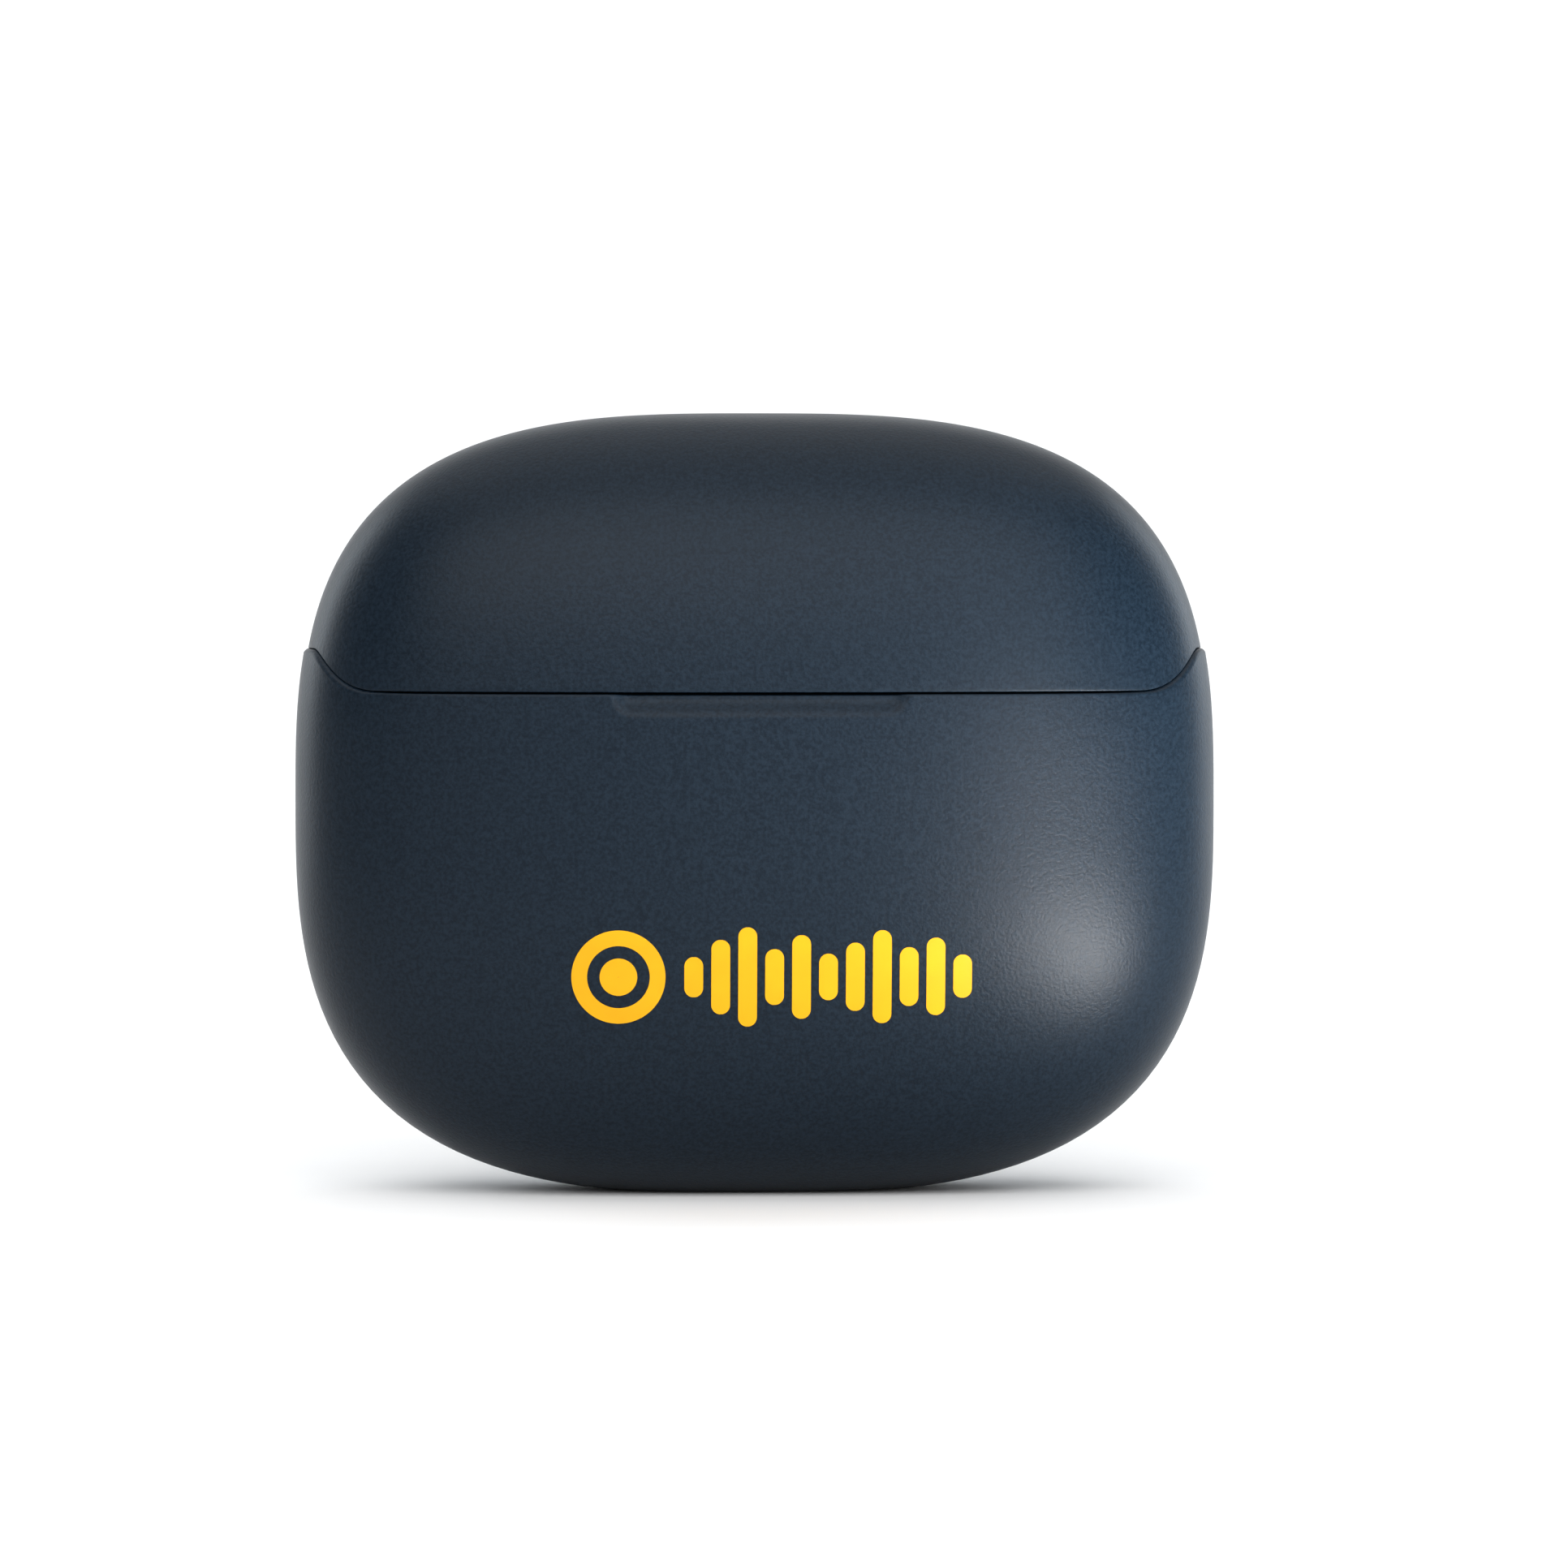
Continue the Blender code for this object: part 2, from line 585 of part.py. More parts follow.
def main_board():
    depth = BOARD_REAR_Y - BOARD_FRONT_Y
    middle_y = (BOARD_REAR_Y + BOARD_FRONT_Y) / 2
    board = prism(
        rounded_rectangle(2 * BOARD_HALF_WIDTH, depth, BOARD_CORNER),
        BOARD_THICKNESS,
        centre=(0, middle_y, BOARD_Z + BOARD_THICKNESS / 2),
    )
    for side in SIDES.values():
        hole_centre = (side * BOARD_SCREW[0], BOARD_SCREW[1], BOARD_Z)
        cut(board, rod(SCREW_HOLE_RADIUS, 4 * MM, hole_centre, "Z", 12))
    piece(board, "main_board", "board")
    components = (
        ("charge_chip", (4.4, 4.4, 0.8), (-8.6, -3.2), "chip"),
        ("power_inductor", (4.0, 4.0, 2.0), (-8.6, 3.6), "chip"),
        ("timing_crystal", (3.2, 1.6, 0.7), (-1.4, -4.2), "steel"),
    )
    for name, size, (x, y), finish in components:
        size = [value * MM for value in size]
        chip = block(size, (x * MM, y * MM, BOARD_TOP + GAP + size[2] / 2), bevel=0.1 * MM)
        piece(chip, name, finish)


def screw(name, turn, centre, length):
    """A small pan-head screw whose head is at its own +Z end, over the origin."""
    head = turned(
        (
            (0, SCREW_HEAD_THICKNESS),
            (SCREW_HEAD_RADIUS * 0.8, SCREW_HEAD_THICKNESS),
            (SCREW_HEAD_RADIUS, SCREW_HEAD_THICKNESS * 0.6),
            (SCREW_HEAD_RADIUS, 0),
            (SCREW_RADIUS, 0),
            (SCREW_RADIUS, -length + 0.4 * MM),
            (0, -length),
        ),
        centre,
    )
    head.rotation_euler = turn
    length_of_slot, width_of_slot, depth_of_slot = SCREW_SLOT
    for slot in ((length_of_slot, width_of_slot), (width_of_slot, length_of_slot)):
        slot_cutter = block((*slot, depth_of_slot), (0, 0, 0))
        slot_cutter.data.transform(Matrix.Translation((0, 0, SCREW_HEAD_THICKNESS)))
        slot_cutter.location = centre
        slot_cutter.rotation_euler = turn
        cut(head, slot_cutter)
    piece(head, name, "steel")


def board_screws():
    for name, side in SIDES.items():
        centre = (side * BOARD_SCREW[0], BOARD_SCREW[1], BOARD_Z - 0.2 * MM)
        screw(f"board_screw_{name}", (math.pi, 0, 0), centre, BOARD_SCREW_LENGTH)


def usb_socket():
    width, length, height = USB_SHELL
    centre = (0, USB_REAR_Y - length / 2, USB_Z)
    shell = prism(rounded_rectangle(width, height, USB_CORNER), length, centre, Y_AXIS_UP)
    hollow = rounded_rectangle(
        width - 2 * USB_SHELL_WALL, height - 2 * USB_SHELL_WALL, USB_CORNER - USB_SHELL_WALL
    )
    cut(shell, prism(hollow, length + 2 * MM, centre, Y_AXIS_UP))
    piece(shell, "usb_socket_shell", "steel")
    tongue = block(USB_TONGUE, (0, USB_TONGUE_FRONT_Y + USB_TONGUE[1] / 2, USB_Z))
    root = block(USB_TONGUE_ROOT, (0, USB_TONGUE_FRONT_Y + USB_TONGUE_ROOT[1] / 2, USB_Z))
    join(tongue, root)
    piece(tongue, "usb_socket_tongue", "black_plastic")


def battery():
    x, y, z = CELL_CENTRE
    piece(block(CELL_SIZE, CELL_CENTRE, bevel=1.4 * MM), "battery_cell", "cell_wrap")
    guard_y = y - CELL_SIZE[1] / 2 - GAP - PROTECTION_BOARD_SIZE[1] / 2
    guard = block(PROTECTION_BOARD_SIZE, (x, guard_y, z + PROTECTION_BOARD_RISE))
    piece(guard, "battery_protection_board", "board")
    pad_z = z + CELL_SIZE[2] / 2 + GAP + FOAM_SIZE[2] / 2
    piece(block(FOAM_SIZE, (x, y, pad_z), bevel=0.2 * MM), "battery_foam_pad", "foam")
    piece(block(CONNECTOR_SIZE, CONNECTOR_CENTRE, bevel=0.1 * MM), "battery_connector", "black_plastic")


def battery_leads():
    """Two leads from the protection board, round the side of the cell, down to the connector."""
    leads = (
        ("battery_lead_positive", "red_lead", 0.0),
        ("battery_lead_negative", "black_lead", LEAD_SPACING),
    )
    corners = (
        (8.5, -6.6, 24.2),
        (9.6, -6.8, 24.1),
        (10.8, -6.9, 23.4),
        (11.4, -6.8, 22.0),
        (11.5, -6.6, 19.0),
        (11.5, -6.4, 15.0),
        (11.5, -6.2, 12.4),
        (11.3, -5.8, 10.9),
        (10.6, -5.4, 10.2),
        (9.45, -5.3, 10.05),
    )
    for name, finish, spacing in leads:
        route = []
        for step, (x, y, z) in enumerate(corners):
            share = min(1, step / 3)
            beside, lower = spacing * share, spacing * (1 - share)
            route.append((x * MM, y * MM + beside, z * MM - lower))
        piece(tube(route, LEAD_RADIUS), name, finish)


# ---------------------------------------------------------------- sensor board and status light


def sensor_group():
    piece(block(SENSOR_BOARD_SIZE, SENSOR_BOARD_CENTRE), "sensor_board", "board")
    hall_z = SENSOR_BOARD_TOP + GAP + HALL_SENSOR_SIZE[2] / 2
    piece(block(HALL_SENSOR_SIZE, (-2.2 * MM, -8.0 * MM, hall_z)), "hall_sensor", "chip")
    lamp_z = SENSOR_BOARD_TOP + GAP + LED_SIZE[2] / 2
    piece(block(LED_SIZE, (0, LIGHT_Y, lamp_z)), "status_led", "light_guide")
    flange_radius, flange_height = LIGHT_GUIDE_FLANGE
    guide = turned(
        (
            (0, LIGHT_GUIDE_HEIGHT),
            (LIGHT_GUIDE_RADIUS, LIGHT_GUIDE_HEIGHT),
            (LIGHT_GUIDE_RADIUS, flange_height),
            (flange_radius, flange_height),
            (flange_radius, 0),
            (0, 0),
        ),
        (0, LIGHT_Y, LIGHT_GUIDE_Z),
    )
    cut(guide, between_seams(-DECK_DROP, HEIGHT / 2))
    piece(guide, "light_guide", "light_guide")


def sensor_cable():
    """The flat cable from under the sensor board, down behind the front wall, to the main board."""
    z = SENSOR_BOARD_CENTRE[2]
    run_y = -8.2 * MM
    top = z - SENSOR_BOARD_SIZE[2] / 2 - GAP
    bottom = BOARD_TOP + GAP - 2 * MM
    outline = [
        (-5.0 * MM, top),
        (run_y, top),
        (run_y, bottom),
        (-6.9 * MM, bottom),
        (-6.9 * MM, bottom + CABLE_THICKNESS),
        (run_y + CABLE_THICKNESS, bottom + CABLE_THICKNESS),
        (run_y + CABLE_THICKNESS, top - CABLE_THICKNESS),
        (-5.0 * MM, top - CABLE_THICKNESS),
    ]
    cable = prism(outline, CABLE_WIDTH, centre=(0.8 * MM, 0, 0), turn=X_AXIS_UP)
    piece(cable, "sensor_flat_cable", "flat_cable")


# ---------------------------------------------------------------- charging contacts


def contact_blocks():
    low, high = CONTACT_BLOCK_Z
    for name, side in SIDES.items():
        centre = (side * STEM_CENTRE[0], STEM_CENTRE[1], (low + high) / 2)
        insulator = block((*CONTACT_BLOCK_SIZE, high - low), centre, bevel=0.15 * MM)
        for _, x, y in contact_places(side):
            cut(insulator, rod(PIN_WELL_RADIUS, 4 * MM, (x, y, low), "Z", 16))
        piece(insulator, f"contact_block_{name}", "black_plastic")


def contact_pins():
    """Each pin's origin is on its collar's underside, on the axis that it slides along."""
    collar_low, collar_high = PIN_COLLAR_Z
    tip = STEM_FLOOR_Z + PIN_PROUD - collar_low
    profile = (
        (0, tip),
        (PIN_TIP_RADIUS * 0.6, tip - 0.08 * MM),
        (PIN_TIP_RADIUS, tip - 0.3 * MM),
        (PIN_TIP_RADIUS, collar_high - collar_low),
        (PIN_COLLAR_RADIUS, collar_high - collar_low),
        (PIN_COLLAR_RADIUS, 0),
        (0, 0),
    )
    for name, side in SIDES.items():
        for place, x, y in contact_places(side):
            pin = turned(profile, (x, y, collar_low), steps=12)
            piece(pin, f"contact_pin_{name}_{place}", "gold")


def contact_springs():
    low, high = CONTACT_SPRING_Z
    turns = 3
    points_per_turn = 8
    steps = turns * points_per_turn
    rise = high - low - 2 * CONTACT_SPRING_WIRE
    for name, side in SIDES.items():
        for place, x, y in contact_places(side):
            route = []
            for step in range(steps + 1):
                angle = 2 * math.pi * step / points_per_turn
                route.append(
                    (
                        x + CONTACT_SPRING_RADIUS * math.cos(angle),
                        y + CONTACT_SPRING_RADIUS * math.sin(angle),
                        low + CONTACT_SPRING_WIRE + rise * step / steps,
                    )
                )
            piece(tube(route, CONTACT_SPRING_WIRE, 1), f"contact_spring_{name}_{place}", "steel")


# ---------------------------------------------------------------- hinge


def hinge_pin():
    pin = rod(PIN_RADIUS, PIN_LENGTH, (0, HINGE_Y, HINGE_Z), "X", 16)
    piece(pin, "hinge_pin", "steel")


def hinge_spring():
    """Torsion spring round the pin: one leg bears on the rear wall, the other on the hinge arm."""
    points_per_turn = 10
    steps = SPRING_TURNS * points_per_turn
    route = [(-SPRING_HALF_LENGTH, HINGE_Y + SPRING_BASE_LEG[0], HINGE_Z + SPRING_BASE_LEG[1])]
    for step in range(steps + 1):
        angle = math.pi + 2 * math.pi * step / points_per_turn
        route.append(
            (
                SPRING_HALF_LENGTH * (2 * step / steps - 1),
                HINGE_Y + SPRING_COIL_RADIUS * math.cos(angle),
                HINGE_Z + SPRING_COIL_RADIUS * math.sin(angle),
            )
        )
    lid_leg_y = HINGE_Y - SPRING_COIL_RADIUS - 0.2 * MM
    route.append((SPRING_HALF_LENGTH, lid_leg_y, HINGE_Z + SPRING_LID_LEG_Z))
    piece(tube(route, SPRING_WIRE_RADIUS, 1), "hinge_spring", "steel")


def lid_hinge_arm():
    """A barrel round the pin, a rear face flush with the case, and a plate that screws to the lid."""
    front_y, back_y = (y - HINGE_Y for y in ARM_PLATE_Y)
    reach = SEAM_ARC_RADIUS - GAP / 2
    arc_start = math.degrees(math.acos(back_y / reach))
    outline = [
        (HINGE_Y + front_y, ARM_PLATE_TOP),
        (HINGE_Y + back_y, ARM_PLATE_TOP),
        *arc((HINGE_Y, HINGE_Z), reach, arc_start, 25, 8),
        *arc((HINGE_Y, HINGE_Z), BARREL_RADIUS, 0, -180, 10),
        (HINGE_Y + front_y, HINGE_Z + 0.9 * MM),
    ]
    arm = prism(outline, 2 * ARM_HALF_WIDTH, turn=X_AXIS_UP)
    keep(arm, pebble(even(0.1 * MM)))
    half_width, around = SPRING_ROOM
    spring_room = span(
        (-half_width, 0, HINGE_Z - around), (half_width, SPRING_ROOM_REAR_Y, HINGE_Z + around)
    )
    cut(arm, spring_room, rod(PIN_BORE_RADIUS, 3 * ARM_HALF_WIDTH, (0, HINGE_Y, HINGE_Z), "X", 16))
    for side in SIDES.values():
        hole_centre = (side * LID_SCREW_X, ARM_PLATE_Y[0], LID_SCREW_Z)
        hole = rod(ARM_HOLE_RADIUS, 4 * MM, hole_centre, "Y", 12)
        cut(arm, hole)
    piece(arm, "lid_hinge_arm", "soft_touch")


def hinge_screws():
    for name, side in SIDES.items():
        centre = (side * LID_SCREW_X, ARM_PLATE_Y[0] - 0.15 * MM, LID_SCREW_Z)
        screw(f"hinge_screw_{name}", (math.pi / 2, 0, 0), centre, LID_SCREW_LENGTH)


# ---------------------------------------------------------------- lid


def lid_shell():
    shell = pebble(LID_INSET)
    keep(shell, above_seam(GAP / 2))
    cut(shell, pebble([inset + WALL for inset in LID_INSET], cells=(14, 6, 10)))
    for side in SIDES.values():
        front_y, rear_y = LID_BOSS_Y
        x = side * LID_SCREW_X
        join(shell, rod(POST_RADIUS, rear_y - front_y, (x, (front_y + rear_y) / 2, LID_SCREW_Z), "Y", 16))
        hole_centre = (x, front_y + 0.3 * MM, LID_SCREW_Z)
        cut(shell, rod(LID_BOSS_HOLE_RADIUS, 1.8 * MM, hole_centre, "Y", 12))
    piece(shell, "lid_shell", "soft_touch")


def lid_liner():
    """The inner moulding of the lid: a rim that closes the lid's edge and a bowl over the earbuds."""
    liner = between_seams(LINER_RIM_LIFT, LINER_RIM_LIFT + LINER_WALL)
    bowl = pebble(LINER_INSETS, cells=(12, 6, 10))
    keep(bowl, above_seam(LINER_RIM_LIFT + LINER_WALL / 2))
    join(liner, bowl)
    keep(liner, pebble([inset + WALL + GAP for inset in LID_INSET], cells=(14, 6, 10)))
    arm_room = ARM_HALF_WIDTH + 0.4 * MM
    cut(
        liner,
        pebble([inset + LINER_WALL for inset in LINER_INSETS], cells=(12, 6, 10)),
        span((-arm_room, LINER_BACK_Y, FRONT_SEAM_Z - 2 * MM), (arm_room, FAR, FAR)),
    )
    piece(liner, "lid_liner", "inner_plastic")


def trigger_magnet():
    magnet = block(TRIGGER_MAGNET_SIZE, (0, MAGNET_Y, LID_MAGNET_Z), bevel=0.15 * MM)
    piece(magnet, "trigger_magnet", "magnet")


def build_case():
    lower_shell()
    cradle()
    well_magnets()
    latch_magnets()
    main_board()
    board_screws()
    usb_socket()
    battery()
    battery_leads()
    sensor_group()
    sensor_cable()
    contact_blocks()
    contact_pins()
    contact_springs()
    hinge_pin()
    hinge_spring()
    lid_hinge_arm()
    hinge_screws()
    lid_shell()
    lid_liner()
    trigger_magnet()


clear_scene()
CASE = collection("wireless_earbuds_case")
CUTTERS = collection("cutters")
CUTTERS.hide_render = True
build_case()
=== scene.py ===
"""The looks of the wireless earbuds case: fine shells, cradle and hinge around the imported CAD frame."""

import json
import math

import bmesh
import bpy
import numpy as np
from mathutils import Matrix, Vector


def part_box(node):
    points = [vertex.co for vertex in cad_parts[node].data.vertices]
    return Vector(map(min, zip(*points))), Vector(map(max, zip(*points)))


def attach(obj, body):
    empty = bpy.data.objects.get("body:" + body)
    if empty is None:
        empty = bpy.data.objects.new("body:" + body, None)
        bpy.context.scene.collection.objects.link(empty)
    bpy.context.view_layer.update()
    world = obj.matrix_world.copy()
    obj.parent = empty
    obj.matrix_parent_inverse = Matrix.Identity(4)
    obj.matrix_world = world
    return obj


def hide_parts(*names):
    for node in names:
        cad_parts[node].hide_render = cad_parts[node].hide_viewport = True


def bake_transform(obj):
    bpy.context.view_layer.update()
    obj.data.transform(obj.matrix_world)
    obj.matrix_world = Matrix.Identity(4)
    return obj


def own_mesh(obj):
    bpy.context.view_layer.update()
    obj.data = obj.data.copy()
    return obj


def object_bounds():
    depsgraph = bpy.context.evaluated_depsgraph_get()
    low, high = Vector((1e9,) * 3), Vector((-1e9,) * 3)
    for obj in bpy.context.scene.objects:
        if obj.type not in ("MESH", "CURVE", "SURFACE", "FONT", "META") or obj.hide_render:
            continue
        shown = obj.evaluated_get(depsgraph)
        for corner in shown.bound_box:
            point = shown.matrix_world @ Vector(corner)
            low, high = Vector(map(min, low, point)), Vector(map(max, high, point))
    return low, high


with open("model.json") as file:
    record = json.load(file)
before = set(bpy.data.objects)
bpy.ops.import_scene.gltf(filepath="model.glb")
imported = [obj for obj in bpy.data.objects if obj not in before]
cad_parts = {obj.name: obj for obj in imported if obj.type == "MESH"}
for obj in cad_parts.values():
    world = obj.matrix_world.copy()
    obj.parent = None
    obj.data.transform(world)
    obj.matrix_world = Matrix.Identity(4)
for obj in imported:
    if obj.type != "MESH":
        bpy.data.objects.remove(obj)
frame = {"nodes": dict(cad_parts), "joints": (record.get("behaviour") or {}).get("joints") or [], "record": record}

MM = 0.001
CAD_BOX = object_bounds()
LOW, HIGH = (np.array(corner, float) for corner in CAD_BOX)
SIDES = (-1, 1)

# The case's form, as part.py has it: a pebble, cut level where it stands, and a parting line.
LOWER_OUTLINE_POWER = 2.9
UPPER_OUTLINE_POWER = 3.05
DEPTH_POWER = 2.6
FLAT_RISE = 0.3 * MM
CENTRE = np.array([0, 0, (HIGH[2] - FLAT_RISE) / 2])
HALF_SIZE = np.array([HIGH[0], HIGH[1], (HIGH[2] + FLAT_RISE) / 2])
LID_HALF_SIZE = HALF_SIZE - np.array([0.25, 0.15, 0]) * MM
WALL = 1.5 * MM
LINING_GAP = 0.25 * MM  # between a shell and the moulding inside it
SEAM_GAP = 0.13 * MM  # between the two shells
FRONT_SEAM_Z = 32.7 * MM
REAR_SEAM_Z = 35.4 * MM
RISE_START_Y = -9.1 * MM
RISE_END_Y = -3.7 * MM

# The lid's axis, and the arc round it that the parting surface follows behind the pin.
HINGE = next(joint for joint in frame["joints"] if joint["name"] == "lid_hinge")
HINGE_Y, HINGE_Z = HINGE["pos_m"][1], HINGE["pos_m"][2]
SEAM_ARC_RADIUS = 3.3 * MM
ARM_GAP = 0.15 * MM  # between that arc and the lid's arm
ARM_HALF_WIDTH = 9.0 * MM

# The finger notch in the front of the base, under the seam.
NOTCH_HALF_WIDTH = 9.6 * MM
NOTCH_HEIGHT = 1.5 * MM
NOTCH_DEPTH = 0.5 * MM
NOTCH_CORNER = 1.4 * MM
NOTCH_LIP = 0.1 * MM  # how far outside its outline the notch's slope begins
NOTCH_SLOPE = 1.35 * MM

# The cradle. The wells' values are in millimetres, for span, rod and ball.
DECK_DROP = 0.6 * MM
DECK_THICKNESS = 1.3 * MM
WELL_WALL = 1.1
HEAD_RADII = (8.0, 7.2, 9.0)
LEFT_HEAD_CENTRE = (-14.6, -0.4, 36.0)
TIP_RADIUS = 5.2
LEFT_TIP_CENTRE = (-8.0, 2.5, 35.2)
STEM_RADII = (3.5, 4.2)
STEM_OUT = 17.0  # from the case's middle to each stem's
STEM_Y = -1.5
STEM_FLOOR_Z = 12.6
STEM_FLOOR_THICKNESS = 1.2
CONTACT_SHIFTS = {"inner": -1.3, "outer": 1.3}  # outward from the stem's middle


# ---------------------------------------------------------------- camera


def add_camera():
    """Looks at the front from a little left and above, with the case just left of and below the middle."""
    azimuth, elevation = math.radians(-2), math.radians(2)
    distance, picture_width = 0.5, 102.6 * MM
    right_of_case, above_case = 1.91 * MM, 1.12 * MM
    back = Vector((
        math.sin(azimuth) * math.cos(elevation),
        -math.cos(azimuth) * math.cos(elevation),
        math.sin(elevation),
    ))
    data = bpy.data.cameras.new("camera")
    data.lens = data.sensor_width * distance / picture_width
    camera = bpy.data.objects.new("camera", data)
    bpy.context.scene.collection.objects.link(camera)
    camera.rotation_euler = (-back).to_track_quat("-Z", "Y").to_euler()
    turn = camera.rotation_euler.to_matrix()
    middle = Vector((LOW + HIGH) / 2)
    camera.location = middle + back * distance + turn @ Vector((right_of_case, above_case, 0))
    bpy.context.scene.camera = camera


add_camera()


# ---------------------------------------------------------------- materials


class Nodes:
    """A Principled material whose detail is built node by node, in the object's own coordinates."""

    def __init__(self, name):
        self.material = bpy.data.materials.new(name)
        self.material.use_nodes = True
        self.tree = self.material.node_tree
        self.shader = self.tree.nodes["Principled BSDF"]
        self.place = self.tree.nodes.new("ShaderNodeTexCoord").outputs["Object"]

    def link(self, output, target):
        self.tree.links.new(output, target)

    def noise(self, scale, detail=2.0, roughness=0.5, place=None):
        """Noise from 0 to 1. The scale is about the number of its waves in a metre."""
        node = self.tree.nodes.new("ShaderNodeTexNoise")
        node.inputs["Scale"].default_value = scale
        node.inputs["Detail"].default_value = detail
        node.inputs["Roughness"].default_value = roughness
        self.link(place or self.place, node.inputs["Vector"])
        return node.outputs["Fac"]

    def stretched(self, factors):
        """The object's coordinates, multiplied by these factors."""
        node = self.tree.nodes.new("ShaderNodeMapping")
        node.inputs["Scale"].default_value = factors
        self.link(self.place, node.inputs["Vector"])
        return node.outputs["Vector"]

    def between(self, value, low, high):
        """The value, from 0 to 1, carried to the range from low to high."""
        node = self.tree.nodes.new("ShaderNodeMapRange")
        node.inputs["To Min"].default_value = low
        node.inputs["To Max"].default_value = high
        self.link(value, node.inputs["Value"])
        return node.outputs["Result"]

    def blend(self, value, first, second, start=0.3, end=0.7):
        """A colour that goes from the first to the second as the value goes from start to end."""
        node = self.tree.nodes.new("ShaderNodeValToRGB")
        node.color_ramp.elements[0].position = start
        node.color_ramp.elements[0].color = (*first, 1)
        node.color_ramp.elements[1].position = end
        node.color_ramp.elements[1].color = (*second, 1)
        self.link(value, node.inputs["Fac"])
        return node.outputs["Color"]

    def bump(self, *layers):
        """Relief from (height, strength, distance) layers, one on another."""
        below = None
        for height, strength, distance in layers:
            node = self.tree.nodes.new("ShaderNodeBump")
            node.inputs["Strength"].default_value = strength
            node.inputs["Distance"].default_value = distance
            self.link(height, node.inputs["Height"])
            if below:
                self.link(below, node.inputs["Normal"])
            below = node.outputs["Normal"]
        self.link(below, self.shader.inputs["Normal"])

    def finish(self, colour, roughness, **sockets):
        """The material, with its colour and roughness linked and any other sockets set."""
        self.link(colour, self.shader.inputs["Base Color"])
        self.link(roughness, self.shader.inputs["Roughness"])
        for name, value in sockets.items():
            self.shader.inputs[name.replace("_", " ")].default_value = value
        return self.material


def moulded(name, dark, light, roughness, grain, relief, specular=0.5):
    """Moulded plastic: an even fine grain in its colour and relief, over a slower waviness."""
    made = Nodes(name)
    speck = made.noise(grain, 2, 0.6)
    waviness = made.noise(700, 2)
    made.bump((waviness, 0.05, 0.02 * MM), (speck, relief, 0.04 * MM))
    return made.finish(
        colour=made.blend(speck, dark, light, 0.35, 0.65),
        roughness=made.between(speck, roughness - 0.05, roughness + 0.05),
        Specular_IOR_Level=specular,
    )


def soft_touch():
    """The shells' coating: navy, fine-grained and only faintly glossy."""
    return moulded(
        "soft_touch", (0.0025, 0.0065, 0.012), (0.006, 0.0128, 0.0218), 0.39, 4500, 0.5, specular=0.14
    )


def inner_plastic():
    """The cradle's and the liner's satin plastic."""
    return moulded(
        "inner_plastic", (0.011, 0.018, 0.029), (0.014, 0.022, 0.035), 0.36, 5000, 0.35, specular=0.4
    )


def metal(name, dark, light, roughness, streaks=(1, 1, 1)):
    """Metal with fine drawn or ground lines, stretched along one axis."""
    made = Nodes(name)
    lines = made.noise(3000, 3, 0.6, place=made.stretched(streaks))
    patches = made.noise(500, 2)
    made.bump((lines, 0.15, 0.01 * MM))
    return made.finish(
        colour=made.blend(patches, dark, light),
        roughness=made.between(lines, roughness - 0.08, roughness + 0.1),
        Metallic=1.0,
    )


def board_green():
    """Solder mask with traces showing through as slightly lighter lines."""
    made = Nodes("solder_mask")
    traces = made.tree.nodes.new("ShaderNodeTexVoronoi")
    traces.distance = "MANHATTAN"
    traces.feature = "DISTANCE_TO_EDGE"
    traces.inputs["Scale"].default_value = 700
    made.link(made.place, traces.inputs["Vector"])
    lines = traces.outputs["Distance"]
    made.bump((lines, 0.2, 0.02 * MM))
    return made.finish(
        colour=made.blend(lines, (0.02, 0.16, 0.06), (0.008, 0.07, 0.03), 0.03, 0.09),
        roughness=made.between(made.noise(900), 0.3, 0.42),
    )


def ink():
    """Pad-printed ink: a slightly uneven film whose colour changes faintly from place to place."""
    made = Nodes("print_ink")
    made.bump((made.noise(6000, 3), 0.25, 0.01 * MM), (made.noise(1200, 2), 0.1, 0.02 * MM))
    return made.finish(
        colour=made.blend(made.noise(400, 3), (0.58, 0.284, 0.0012), (0.62, 0.306, 0.0016)),
        roughness=made.between(made.noise(5000, 2), 0.38, 0.5),
        Specular_IOR_Level=0.2,
    )


def clear_frosted():
    """The light guide's clear plastic, frosted so that it spreads the light."""
    made = Nodes("frosted_clear")
    made.bump((made.noise(5000, 2), 0.2, 0.01 * MM))
    return made.finish(
        colour=made.blend(made.noise(800), (0.75, 0.78, 0.8), (0.86, 0.88, 0.88)),
        roughness=made.between(made.noise(4000), 0.3, 0.45),
        Transmission_Weight=0.5,
    )


